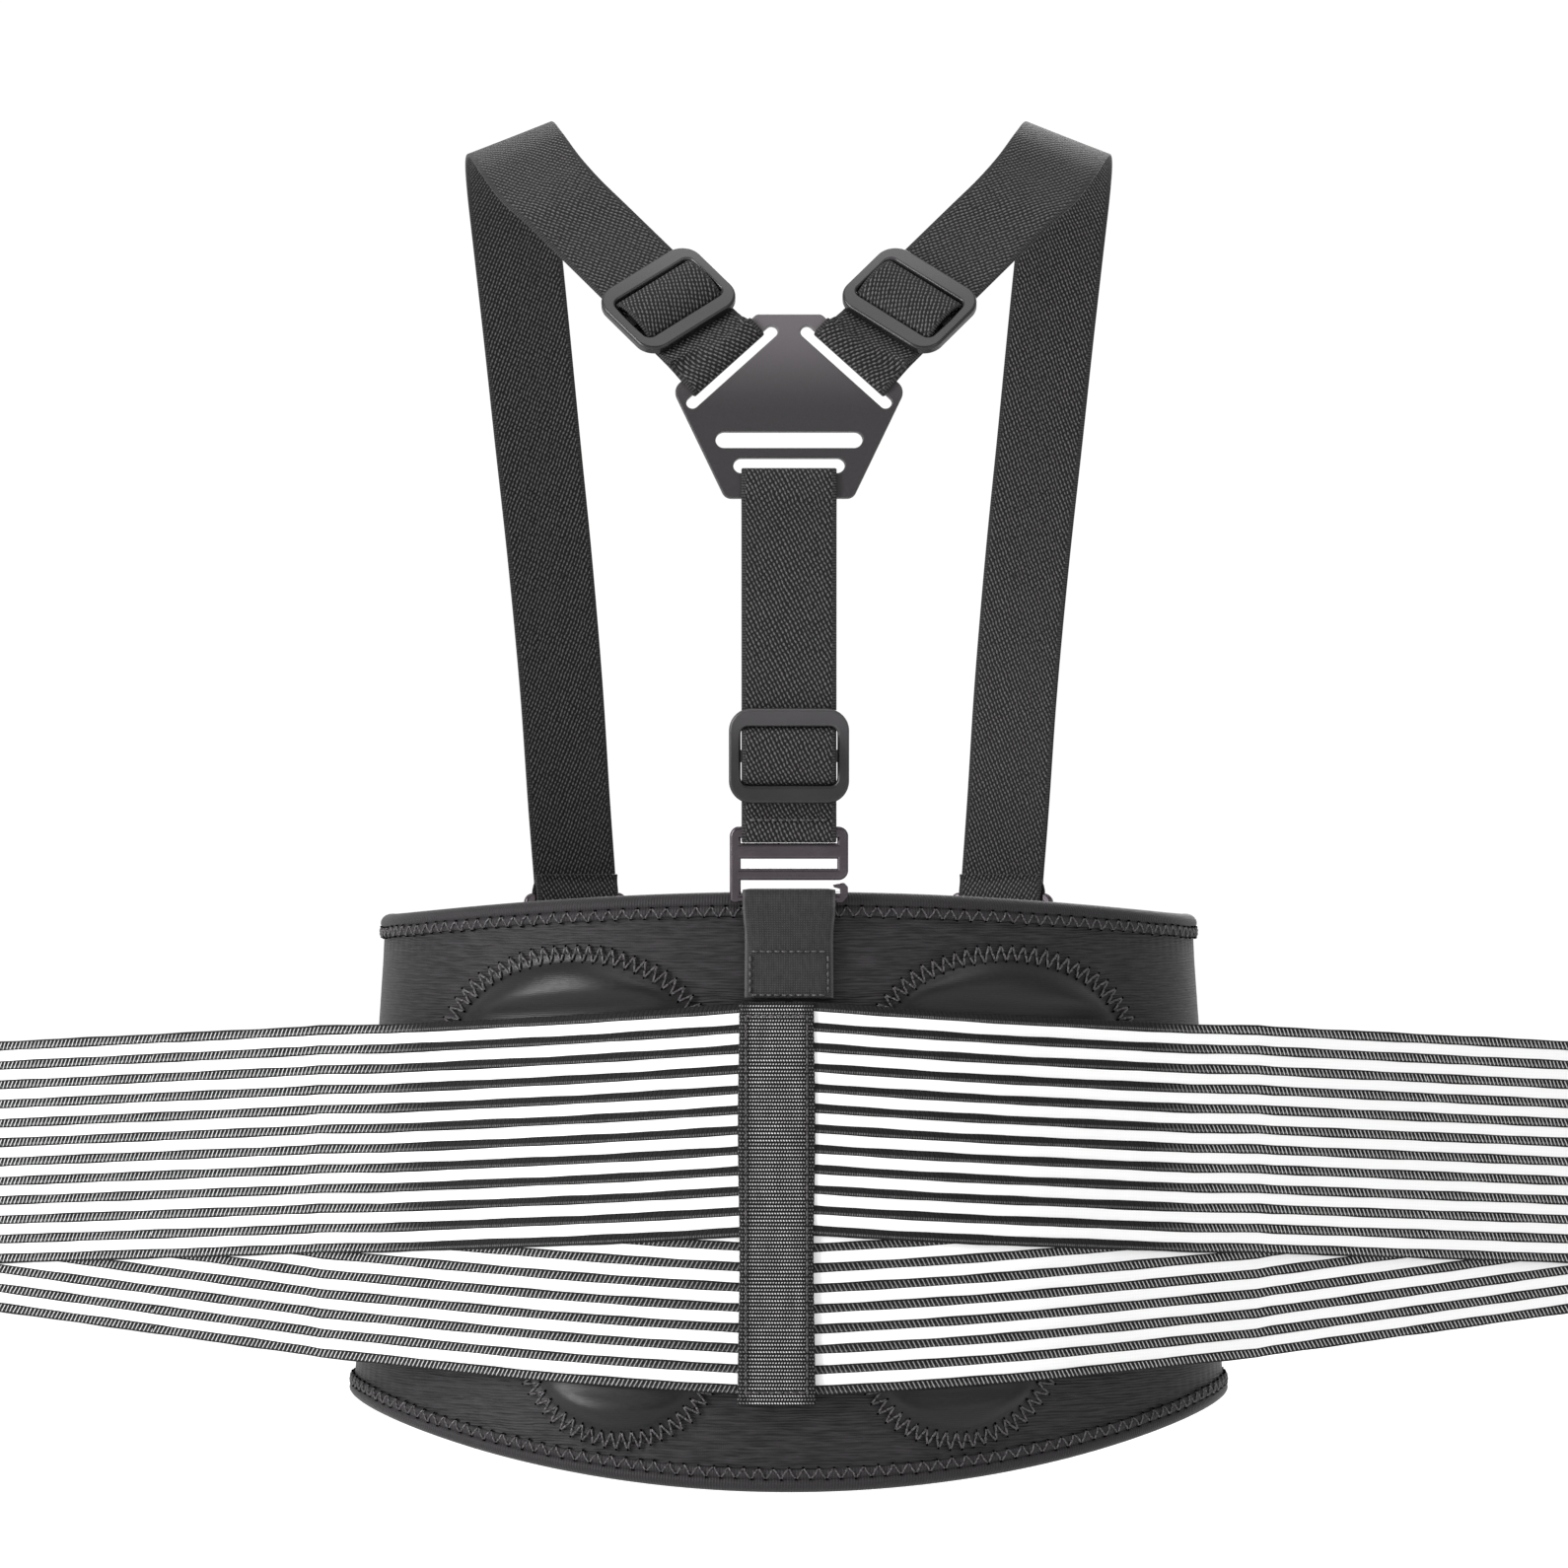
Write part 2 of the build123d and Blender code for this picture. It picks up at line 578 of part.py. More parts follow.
def nodes():
    top_binding, bottom_binding = bindings()
    left_region, right_region = wing_regions(0)
    back_slider_plane = Plane(origin=back_plane.from_local_coords((0, slider_rest, 0)),
                              x_dir=back_plane.x_dir, z_dir=back_plane.z_dir)
    side_slider_plane = shoulder_slider_plane()
    parts = {
        "inner_lining": lining(),
        "back_panel": shell(panel_layer) & back_region(0),
        "left_wing": shell(wing_layer) & left_region,
        "right_wing": shell(wing_layer) & right_region,
        "top_binding": top_binding,
        "bottom_binding": bottom_binding,
        "spine_strip": centre_strip(),
        "landing_patch": landing_patch(),
        "closure_flap": closure_flap(),
        "flap_hook_patch": flap_hook_patch(),
        "back_loop": back_loop(),
        "back_hook": hook(back_plane, 1),
        "back_end_loop": end_loop(back_plane),
        "centre_strap": centre_strap(),
        "yoke_plate": yoke_plate(),
        "back_slider": slider_frame(back_slider_plane),
        "back_slider_fold": slider_fold(back_slider_plane),
    }
    for name, x in stay_places.items():
        parts[name] = stay(x, stay_layer, 0)
    parts.update(pair("pad", right_pad()))
    parts.update(pair("upper_band_inner", right_inner_band(upper_centre, upper_band_layer)))
    parts.update(pair("lower_band_inner", right_inner_band(lower_centre, lower_band_layer)))
    parts.update(pair("upper_band_outer", right_outer_band(upper_centre, upper_band_layer)))
    parts.update(pair("lower_band_outer", right_outer_band(lower_centre, lower_band_layer)))
    parts.update(pair("pull_tab", right_tab()))
    parts.update(pair("tab_hook_patch", right_tab_patch()))
    parts.update(pair("finger_loop", right_finger_loop()))
    parts.update(pair("front_loop", right_front_loop()))
    parts.update(pair("front_hook", hook(front_plane, 1)))
    parts.update(pair("front_end_loop", end_loop(front_plane)))
    parts.update(pair("shoulder_strap", right_shoulder_strap()))
    parts.update(pair("shoulder_slider", slider_frame(side_slider_plane)))
    parts.update(pair("shoulder_slider_fold", slider_fold(side_slider_plane)))
    return parts


os.makedirs("parts", exist_ok=True)
for name, shape in nodes().items():
    export_step(shape, "parts/" + name + ".step")
    box = shape.bounding_box()
    print(f"{name:28s} solids {len(shape.solids())}  volume {shape.volume:9.0f}  "
          f"x {box.min.X:7.1f} {box.max.X:7.1f}  y {box.min.Y:7.1f} {box.max.Y:7.1f}  "
          f"z {box.min.Z:7.1f} {box.max.Z:7.1f}")
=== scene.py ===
"""Back brace: cloth, webbing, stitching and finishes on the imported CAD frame.

Shapes are worked out in millimetres and written to the meshes in metres. +X is the wearer's
right, +Y the wearer's front, +Z up, and the origin is the middle of the waist opening.
"""
import math

import bpy
import numpy as np
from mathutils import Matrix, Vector


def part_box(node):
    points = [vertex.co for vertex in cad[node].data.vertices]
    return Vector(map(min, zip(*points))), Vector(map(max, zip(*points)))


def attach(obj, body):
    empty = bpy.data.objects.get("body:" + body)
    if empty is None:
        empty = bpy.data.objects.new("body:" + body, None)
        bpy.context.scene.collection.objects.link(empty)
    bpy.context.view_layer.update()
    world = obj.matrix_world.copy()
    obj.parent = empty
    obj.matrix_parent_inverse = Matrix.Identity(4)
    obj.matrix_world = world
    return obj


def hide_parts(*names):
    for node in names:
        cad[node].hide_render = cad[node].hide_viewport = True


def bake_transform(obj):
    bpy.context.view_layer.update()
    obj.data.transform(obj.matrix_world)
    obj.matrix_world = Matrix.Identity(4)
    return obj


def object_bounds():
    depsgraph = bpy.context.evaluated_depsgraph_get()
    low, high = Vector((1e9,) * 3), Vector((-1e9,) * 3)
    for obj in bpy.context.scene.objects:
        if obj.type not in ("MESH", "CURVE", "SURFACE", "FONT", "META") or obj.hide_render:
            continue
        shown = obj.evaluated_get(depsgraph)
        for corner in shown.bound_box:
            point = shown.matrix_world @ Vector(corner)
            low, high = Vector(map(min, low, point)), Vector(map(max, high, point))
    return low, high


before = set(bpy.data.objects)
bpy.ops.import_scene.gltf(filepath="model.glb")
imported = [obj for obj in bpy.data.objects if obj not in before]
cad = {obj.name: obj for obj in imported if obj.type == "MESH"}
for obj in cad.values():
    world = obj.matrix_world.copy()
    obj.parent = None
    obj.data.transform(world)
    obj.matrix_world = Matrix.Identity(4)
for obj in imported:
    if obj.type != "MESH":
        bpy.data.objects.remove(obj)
cad_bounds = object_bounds()
MM = 0.001

# --- Waist and layers, outwards from the waist ---
waist_half_width, waist_flare, waist_flatness = 170.0, 8.0 / 119.0, 0.66
lining_layer, panel_layer, wing_layer = (0.1, 2.6), (2.8, 6.0), (1.6, 6.0)
pad_base, pad_flange = 6.3, 0.9
lower_band_layer, upper_band_layer, hinge_layer = 10.7, 12.0, 11.35
strip_layer = (12.8, 13.5)
eye_layer = 11.2
flap_layer, flap_patch_layer, landing_layer = 10.2, 8.05, 6.8
flap_seam_layer, flap_from, flap_to = 7.9, -68.0, 62.0

# --- Belt outline ---
top_side, bottom_side = (169.0, 107.5), (181.0, -91.2)
back_top, back_bottom, front_top, front_bottom = 118.6, -119.0, 78.0, -68.0
left_wing_end, right_wing_end = -56.0, -46.0
binding_width, bead_pitch = 8.0, 6.0

# --- Pads ---
pad_top_x, pad_top_half, pad_shoulder_z, pad_top_z = 86.0, 58.0, 54.0, 98.5
pad_low_x, pad_low_half, pad_hip_z, pad_low_z = 68.0, 43.0, -62.0, -104.0
pad_voxel, pad_pressure, pad_swell = 3.4, 4.0, 9.0

# --- Bands and tabs ---
pull_angle, band_hinge_x, band_run, band_start = math.radians(25.5), 192.0, 158.4, 1.5
upper_centre, lower_centre = (30.0, 18.6, 17.4, 8.0), (-35.0, -26.7, -25.2, -12.0)
band_places = (0.0, 165.0, 198.0)
cord_count, cord_pitch, cord_width = 12, 8.1, 4.05
band_width, band_cover = 92.4, 46.0
band_joint_at, band_end = 80.0, 168.0
tab_start, tab_length, tab_height, tab_z = 161.4, 114.0, 116.0, -2.0

# --- Strip, loops and harness ---
strip_x, strip_width, strip_top, strip_bottom = -5.0, 30.0, 75.4, -84.5
rib_pitch = 1.45
strap_width, strap_thickness, loop_width = 38.0, 1.6, 37.0
hook_lean, back_hook_z, front_hook_x, front_hook_z = math.radians(5.0), 117.5, 92.0, 87.0
slider_rest, slider_lift, shoulder_slider_rest = 57.2, 1.15, 23.0
yoke_at, yoke_tilt = (0.0, -130.6, 290.0), math.radians(12.0)
slant_slot_at, slant_angle, rim_outer = (22.8, 40.6), math.radians(47.0), 9.43
shoulder_tilt, shoulder_climb = math.radians(35.0), math.radians(51.2)
straight_start, straight_length = 6.0, 94.0
end_stitch_height, end_stitch_half = 31.5, 15.5
over_shoulder = [((101.6, -63.0, 410.5), (-0.82, 0.22, 0.50)),
                 ((110.5, -43.0, 423.5), (-0.89, 0.08, 0.42)),
                 ((115.8, -16.0, 431.5), (-0.93, 0.0, 0.37)),
                 ((118.2, 13.0, 430.5), (-0.94, 0.0, 0.34)),
                 ((118.4, 41.0, 418.5), (-0.95, 0.05, 0.28)),
                 ((116.6, 65.0, 394.5), (-0.96, 0.12, 0.20)),
                 ((113.4, 83.0, 359.0), (-0.96, 0.20, 0.12)),
                 ((109.0, 95.5, 312.0), (-0.96, 0.26, 0.05)),
                 ((103.8, 102.5, 260.0), (-0.95, 0.30, 0.0)),
                 ((99.0, 104.6, 205.0), (-0.94, 0.34, 0.0)),
                 ((95.6, 103.6, 155.0), (-0.93, 0.37, 0.0))]


# --- Directions, planes and paths ---
def unit(vectors):
    vectors = np.asarray(vectors, float)
    return vectors / np.linalg.norm(vectors, axis=-1, keepdims=True)


class Plane:
    """A flat place on the object, with its own x, y and z directions."""

    def __init__(self, origin, x, z):
        self.origin = np.array(origin, float)
        self.x, self.z = unit(x), unit(z)
        self.y = np.cross(self.z, self.x)

    def at(self, x, y, z):
        x, y, z = np.broadcast_arrays(np.asarray(x, float), y, z)
        return self.origin + x[..., None] * self.x + y[..., None] * self.y + z[..., None] * self.z


def smooth_path(rows, step):
    """Rounded path through the rows (a point, and any directions after it), about step apart."""
    rows = np.asarray(rows, float)
    padded = np.vstack([2 * rows[0] - rows[1], rows, 2 * rows[-1] - rows[-2]])
    samples = []
    for before, first, second, after in zip(padded, padded[1:], padded[2:], padded[3:]):
        count = max(2, int(np.linalg.norm((second - first)[:3]) / step))
        share = np.arange(count)[:, None] / count
        samples.append(0.5 * (2 * first + (second - before) * share
                              + (2 * before - 5 * first + 4 * second - after) * share ** 2
                              + (3 * first - before - 3 * second + after) * share ** 3))
    return np.vstack(samples + [rows[-1:]])


def lengths(points):
    """Distance along a path at each of its points."""
    return np.concatenate([[0.0], np.cumsum(np.linalg.norm(np.diff(points, axis=0), axis=1))])


def every(points, spacing, *others):
    """Points at an even spacing along a path, with whatever belongs to each point."""
    run = lengths(points)
    count = max(2, int(round(run[-1] / spacing)) + 1)
    marks = np.linspace(0, run[-1], count)
    picked = []
    for values in (points,) + others:
        picked.append(np.stack([np.interp(marks, run, column) for column in np.asarray(values).T], -1))
    return picked if others else picked[0]


def ease(value, low, high):
    """0 below low, 1 above high, and a smooth rise between them."""
    share = np.clip((np.asarray(value, float) - low) / (high - low), 0, 1)
    return share * share * (3 - 2 * share)


# --- Waist ---
def girth(z, layer):
    half = waist_half_width - waist_flare * np.asarray(z, float)
    return half + layer, waist_flatness * half + layer


def waist_point(theta, z, layer):
    """theta runs from the middle of the back towards the wearer's right."""
    theta, z, layer = np.broadcast_arrays(np.asarray(theta, float), z, layer)
    half_width, half_depth = girth(z, layer)
    return np.stack([half_width * np.sin(theta), -half_depth * np.cos(theta), z], -1)


def waist_out(theta):
    """Level direction away from the wearer."""
    half_width, half_depth = girth(0, 6)
    theta = np.asarray(theta, float)
    return unit(np.stack([np.sin(theta) / half_width, -np.cos(theta) / half_depth, 0 * theta], -1))


def back_angle(x, z, layer):
    return np.arcsin(np.clip(np.asarray(x) / girth(z, layer)[0], -1, 1))


def front_angle(x, z, layer):
    return math.pi - back_angle(x, z, layer)


def arc_height(x, side, middle):
    """Height at x of the circular arc through a side point and the middle of the belt's edge."""
    rise = middle - side[1]
    radius = (side[0] ** 2 + rise ** 2) / (2 * abs(rise))
    x = np.minimum(np.abs(x), side[0])
    return middle - math.copysign(1, rise) * (radius - np.sqrt(radius ** 2 - x ** 2))


def edge_z(theta, upper):
    """Height of the belt's upper or lower edge."""
    side = top_side if upper else bottom_side
    back, front = (back_top, front_top) if upper else (back_bottom, front_bottom)
    z = np.full_like(np.asarray(theta, float), side[1])
    for _ in range(4):
        x = girth(z, 6)[0] * np.sin(theta)
        z = np.where(np.cos(theta) > 0, arc_height(x, side, back), arc_height(x, side, front))
    return z


# --- Meshes ---
def grid_faces(rows, columns, wrap=False):
    row = np.arange(rows - 1)[:, None]
    column = np.arange(columns if wrap else columns - 1)[None, :]
    first = row * columns + column
    second = row * columns + (column + 1) % columns
    return np.stack([first, second, second + columns, first + columns], -1).reshape(-1, 4)


def on_cloth(along, across):
    """Places on the cloth for a grid: millimetres along it and across it."""
    return np.stack(np.broadcast_arrays(np.asarray(along)[:, None], np.asarray(across)[None, :]), -1)


class Piece:
    """Collects the parts of one mesh. Slot 0 is its main material; stitches take slot 1 and the painted
    shade of needle holes slot 2, unless the piece says otherwise."""

    def __init__(self, mirror=False):
        self.points, self.uvs, self.faces, self.slots = [], [], [], []
        self.count = 0
        self.mirror = mirror

    def add(self, points, uvs, faces, slot=0):
        points = np.asarray(points, float).reshape(-1, 3)
        self.points.append(points)
        self.uvs.append(np.asarray(uvs, float).reshape(-1, 2))
        for face in faces:
            self.faces.append([int(index) + self.count for index in face])
        slots = slot if hasattr(slot, "__len__") else [slot] * len(faces)
        self.slots.extend(int(s) for s in slots)
        self.count += len(points)

    def tube(self, rings, uvs, slot=0):
        """Closed rings in a row, capped at both ends."""
        rows, columns = rings.shape[:2]
        faces = grid_faces(rows, columns, wrap=True).tolist()
        faces.append(list(range(columns))[::-1])
        faces.append(list(range((rows - 1) * columns, rows * columns)))
        self.add(rings, uvs, faces, slot)

    def slab(self, outer, inner, uvs):
        """Closed sheet between an outer and an inner grid, with a rounded rim."""
        rows, columns = outer.shape[:2]
        total = rows * columns
        faces = grid_faces(rows, columns).tolist()
        faces += (grid_faces(rows, columns)[:, ::-1] + total).tolist()
        index = np.arange(total).reshape(rows, columns)
        rim = np.concatenate([index[0, :-1], index[:-1, -1], index[-1, :0:-1], index[:0:-1, 0]])
        flat_outer, flat_inner = outer.reshape(-1, 3), inner.reshape(-1, 3)
        middle = (flat_outer[rim] + flat_inner[rim]) / 2
        along = np.roll(middle, -1, 0) - np.roll(middle, 1, 0)
        thick = flat_outer[rim] - flat_inner[rim]
        away = unit(np.cross(along, thick))
        centre = middle + away * np.linalg.norm(thick, axis=1, keepdims=True) * 0.25
        count = len(rim)
        for k in range(count):
            after = (k + 1) % count
            faces.append([rim[after], rim[k], 2 * total + k, 2 * total + after])
            faces.append([2 * total + after, 2 * total + k, total + rim[k], total + rim[after]])
        flat_uvs = uvs.reshape(-1, 2)
        self.add(np.vstack([flat_outer, flat_inner, centre]),
                 np.vstack([flat_uvs, flat_uvs, flat_uvs[rim]]), faces)

    def ribbon(self, path, edge, width, thickness):
        """Flat webbing along a path; edge points across it."""
        columns = 12
        run = unit(np.gradient(path, axis=0))
        across = unit(edge - run * np.sum(edge * run, axis=1, keepdims=True))
        out = np.cross(across, run)
        half, thin = width / 2, thickness / 2
        flat = np.linspace(-(half - thin), half - thin, columns)
        turn = np.linspace(-math.pi / 2, math.pi / 2, 6)[1:-1]
        crown = np.concatenate([flat, half - thin + thin * np.cos(turn), flat[::-1],
                                -(half - thin) - thin * np.cos(turn)])
        level = np.concatenate([np.full(columns, -thin), thin * np.sin(turn), np.full(columns, thin),
                                -thin * np.sin(turn)])
        rings = (path[:, None] + crown[None, :, None] * across[:, None]
                 + level[None, :, None] * out[:, None])
        self.tube(rings, on_cloth(lengths(path), crown))

    def threads(self, starts, ends, up, radius=0.38, lift=0.55, slot=1):
        """Short arched threads that go into the cloth at both ends."""
        starts, ends = np.asarray(starts, float), np.asarray(ends, float)
        up = np.broadcast_to(up, starts.shape)
        run = unit(ends - starts)
        side = unit(np.cross(run, up))
        rise = np.cross(side, run)
        share = np.array([-0.06, 0.08, 0.3, 0.7, 0.92, 1.06])
        height = np.array([-0.7, 0.35, 1.0, 1.0, 0.35, -0.7]) * lift
        girths = np.array([0.6, 1.0, 1.12, 1.12, 1.0, 0.6]) * radius
        turn = np.arange(6) * math.pi / 3
        spine = (starts[:, None] + (ends - starts)[:, None] * share[None, :, None]
                 + rise[:, None] * height[None, :, None])
        rings = (spine[:, :, None]
                 + side[:, None, None] * (girths[:, None] * np.cos(turn))[None, :, :, None]
                 + rise[:, None, None] * (girths[:, None] * np.sin(turn))[None, :, :, None])
        one = grid_faces(6, 6, wrap=True).tolist()
        caps = [list(range(6))[::-1], list(range(30, 36))]
        faces = []
        for k in range(len(starts)):
            for face in one + caps:
                faces.append([index + 36 * k for index in face])
        uvs = np.broadcast_to((share * 3)[None, :, None, None], rings.shape[:3] + (2,))
        self.add(rings, uvs, faces, slot)

    def painted_hole_shade(self, points, along, up):
        """Painted shade of the needle holes: small dark beads at the ends of stitches."""
        reach = unit(along) * 0.35
        self.threads(points - reach, points + reach, up, radius=0.5, lift=0.28, slot=2)

    def dashes(self, path, up, pitch=3.2):
        """A straight row of stitches along a path."""
        points, ups = every(path, pitch, np.broadcast_to(up, path.shape))
        self.threads(points[:-1], points[:-1] + (points[1:] - points[:-1]) * 0.8, ups[:-1])

    def make(self, name, *materials):
        points = np.vstack(self.points) * MM
        faces = self.faces
        if self.mirror:
            points[:, 0] *= -1
            faces = [face[::-1] for face in faces]
        mesh = bpy.data.meshes.new(name)
        mesh.from_pydata(points.tolist(), [], faces)
        layer = mesh.uv_layers.new(name="UVMap")
        corners = np.empty(len(mesh.loops), np.int32)
        mesh.loops.foreach_get("vertex_index", corners)
        layer.data.foreach_set("uv", np.vstack(self.uvs)[corners].astype(np.float32).ravel())
        for material in materials:
            mesh.materials.append(material)
        mesh.polygons.foreach_set("material_index", self.slots)
        mesh.shade_smooth()
        mesh.set_sharp_from_angle(angle=math.radians(55))
        mesh.update()
        piece = bpy.data.objects.new(name, mesh)
        bpy.context.scene.collection.objects.link(piece)
        return piece


# --- Outlines and discs ---
def even_outline(points, spacing):
    """Closed outline with evenly spaced points, anticlockwise."""
    closed = np.vstack([points, points[:1]])
    return every(closed, spacing)[:-1]


def rounded_box(x_from, x_to, z_from, z_to, corners, spacing=2.0):
    """Rectangle with its own radius at each corner: low right, high right, high left, low left."""
    places = [(x_to, z_from, -90), (x_to, z_to, 0), (x_from, z_to, 90), (x_from, z_from, 180)]
    points = []
    for (x, z, turn), radius in zip(places, corners):
        toward_x = -1 if x == x_to else 1
        toward_z = 1 if z == z_from else -1
        angles = np.radians(turn + np.linspace(0, 90, 9))
        points.append(np.stack([x + toward_x * radius + radius * np.cos(angles),
                                z + toward_z * radius + radius * np.sin(angles)], -1))
    return even_outline(np.vstack(points), spacing)


def inset(outline, distance):
    """Outline moved inwards by a distance."""
    along = unit(np.roll(outline, -1, 0) - np.roll(outline, 1, 0))
    inward = np.stack([-along[:, 1], along[:, 0]], -1)
    return outline + inward * distance


def disc(piece, outline, profile, place, bands=((99.0, 0),), steps=12, crown=0.0):
    """Flat closed form: profile is (inset, half thickness) from the rim, place puts it on the object."""
    centre = outline.mean(0)
    rings, heights, depths = [], [], []
    for distance, height in profile:
        rings.append(inset(outline, distance))
        heights.append(height)
        depths.append(distance)
    last = rings[-1]
    for share in np.linspace(1, 0.03, steps + 1)[1:]:
        rings.append(centre + (last - centre) * share)
        heights.append(profile[-1][1] + crown * (1 - share ** 2))
        depths.append(90.0)
    order = list(range(len(rings)))[::-1] + list(range(1, len(rings)))
    signs = [-1] * len(rings) + [1] * (len(rings) - 1)
    flat = np.stack([rings[k] for k in order])
    level = np.array([sign * heights[k] for k, sign in zip(order, signs)])[:, None]
    points = place(flat[..., 0], flat[..., 1], np.broadcast_to(level, flat.shape[:2]))
    slots = []
    for k, after in zip(order, order[1:]):
        depth = min(depths[k], depths[after])
        slot = next(number for limit, number in bands if depth < limit)
        slots += [slot] * len(outline)
    slots += [slots[0], slots[-1]]
    piece.tube(points, flat, slots)


# --- Materials ---
def srgb(code):
    """Linear colour of a #rrggbb code."""
    parts = [int(code[k:k + 2], 16) / 255 for k in (1, 3, 5)]
    return [p / 12.92 if p <= 0.04045 else ((p + 0.055) / 1.055) ** 2.4 for p in parts] + [1.0]


class Value:
    """A number or colour that varies over a surface; sums and products of it become Math nodes."""

    def __init__(self, shade, socket):
        self.shade, self.socket = shade, socket

    def __add__(self, other):
        return self.shade.math("ADD", self, other)

    def __sub__(self, other):
        return self.shade.math("SUBTRACT", self, other)

    def __rsub__(self, other):
        return self.shade.math("SUBTRACT", other, self)

    def __mul__(self, other):
        return self.shade.math("MULTIPLY", self, other)

    def __abs__(self):
        return self.shade.math("ABSOLUTE", self, 0.0)


class Shader:
    """A material whose colour, gloss and relief come from patterns in millimetres."""

    def __init__(self, name, roughness, **constants):
        self.material = bpy.data.materials.new(name)
        self.material.use_nodes = True
        self.nodes = self.material.node_tree.nodes
        self.links = self.material.node_tree.links
        self.surface = self.nodes["Principled BSDF"]
        self.surface.inputs["Roughness"].default_value = roughness
        for socket, value in constants.items():
            self.surface.inputs[socket.replace("_", " ")].default_value = value

    def feed(self, socket, value):
        """Give a socket a pattern, a colour code or a plain number."""
        if isinstance(value, Value):
            self.links.new(value.socket, socket)
        else:
            socket.default_value = srgb(value) if isinstance(value, str) else value

    def math(self, operation, first, second):
        node = self.nodes.new("ShaderNodeMath")
        node.operation = operation
        self.feed(node.inputs[0], first)
        self.feed(node.inputs[1], second)
        return Value(self, node.outputs[0])

    def place(self, kind):
        """The three coordinates of a point on the surface."""
        place = self.nodes.new("ShaderNodeTexCoord")
        parts = self.nodes.new("ShaderNodeSeparateXYZ")
        self.links.new(place.outputs[kind], parts.inputs[0])
        return [Value(self, output) for output in parts.outputs]

    def cloth(self):
        """Place on the cloth: along it and across it."""
        return self.place("UV")[:2]

    def noise(self, size, stretch=(1.0, 1.0, 1.0), detail=2.0, solid=False):
        """Smooth random pattern; its features are about size across."""
        place = self.nodes.new("ShaderNodeTexCoord")
        scale = self.nodes.new("ShaderNodeMapping")
        pattern = self.nodes.new("ShaderNodeTexNoise")
        size = size * MM if solid else size
        scale.inputs["Scale"].default_value = [s / size for s in stretch]
        pattern.inputs["Scale"].default_value = 1.0
        pattern.inputs["Detail"].default_value = detail
        self.links.new(place.outputs["Object" if solid else "UV"], scale.inputs[0])
        self.links.new(scale.outputs[0], pattern.inputs["Vector"])
        return Value(self, pattern.outputs[0])

    def wave(self, coordinate, pitch, shift=0.0):
        """Ripple between 0 and 1."""
        return self.math("SINE", coordinate * (2 * math.pi / pitch) + shift, 0.0) * 0.5 + 0.5

    def step(self, value, low, high):
        """0 below low and 1 above high."""
        node = self.nodes.new("ShaderNodeMapRange")
        node.interpolation_type = "SMOOTHSTEP"
        self.feed(node.inputs["Value"], value)
        node.inputs["From Min"].default_value = low
        node.inputs["From Max"].default_value = high
        return Value(self, node.outputs[0])

    def between(self, share, first, second):
        """Colour from first to second."""
        node = self.nodes.new("ShaderNodeMix")
        node.data_type = "RGBA"
        self.feed(node.inputs[0], share)
        self.feed(node.inputs[6], first)
        self.feed(node.inputs[7], second)
        return Value(self, node.outputs[2])

    def finish(self, colour, height=None, depth=0.1, roughness=None):
        self.feed(self.surface.inputs["Base Color"], colour)
        if roughness is not None:
            self.feed(self.surface.inputs["Roughness"], roughness)
        if height is not None:
            bump = self.nodes.new("ShaderNodeBump")
            bump.inputs["Strength"].default_value = 1.0
            bump.inputs["Distance"].default_value = depth * MM
            self.feed(bump.inputs["Height"], height)
            self.links.new(bump.outputs[0], self.surface.inputs["Normal"])
        return self.material


def neoprene():
    """Laminated knit with fine wavy level ribs."""
    shade = Shader("neoprene", 0.5, Sheen_Weight=0.04, Sheen_Roughness=0.4, Specular_IOR_Level=0.22)
    along, up = shade.cloth()
    rib = shade.wave(up + shade.noise(7.0, (0.3, 1.0, 1.0)) * 3.0, 1.15)
    streak = shade.noise(1.3, (0.12, 1.0, 1.0), 3.0)
    sharp = shade.step(streak, 0.3, 0.72)
    colour = shade.between(rib * 0.3 + shade.noise(18.0) * 0.15 + sharp * 0.55, "#040404", "#343234")
    height = rib * 0.6 + sharp * 0.9 + shade.wave(along, 0.8) * 0.12
    return shade.finish(colour, height, 0.22, streak * 0.2 + 0.42)


def pad_cover():
    """Smooth stretched jersey with a satin shine."""
    shade = Shader("pad_cover", 0.3, Sheen_Weight=0.02, Specular_IOR_Level=0.3)
    up = shade.cloth()[1]
    rib = shade.wave(up + shade.noise(8.0) * 1.5, 0.75)
    grain = shade.noise(0.9, (0.4, 1.0, 1.0), 3.0)
    colour = shade.between(rib * 0.35 + grain * 0.65, "#030303", "#191819")
    return shade.finish(colour, rib * 0.35 + grain, 0.06, grain * 0.22 + 0.27)


def binding_tape():
    """Fine knitted edge tape, ribbed across the roll."""
    shade = Shader("binding_tape", 0.55, Sheen_Weight=0.06, Specular_IOR_Level=0.25)
    along, around = shade.cloth()
    rib = shade.wave(along + shade.noise(5.0) * 0.6, 1.15)
    knit = rib * (shade.wave(around, 1.1) * 0.35 + 0.65)
    grain = shade.noise(1.2, detail=3.0)
    colour = shade.between(knit * 0.4 + grain * 0.4 + shade.noise(11.0) * 0.2, "#080708", "#302d30")
    return shade.finish(colour, knit + grain * 0.7, 0.14)


def lining_mesh():
    """Breathable spacer mesh with small holes."""
    shade = Shader("lining_mesh", 0.75, Sheen_Weight=0.2)
    along, up = shade.cloth()
    hole = shade.step(shade.wave(along, 2.6) * shade.wave(up, 2.2), 0.45, 0.65)
    return shade.finish(shade.between(hole, "#2b2a2d", "#0c0c0d"), 1.0 - hole, 0.35)


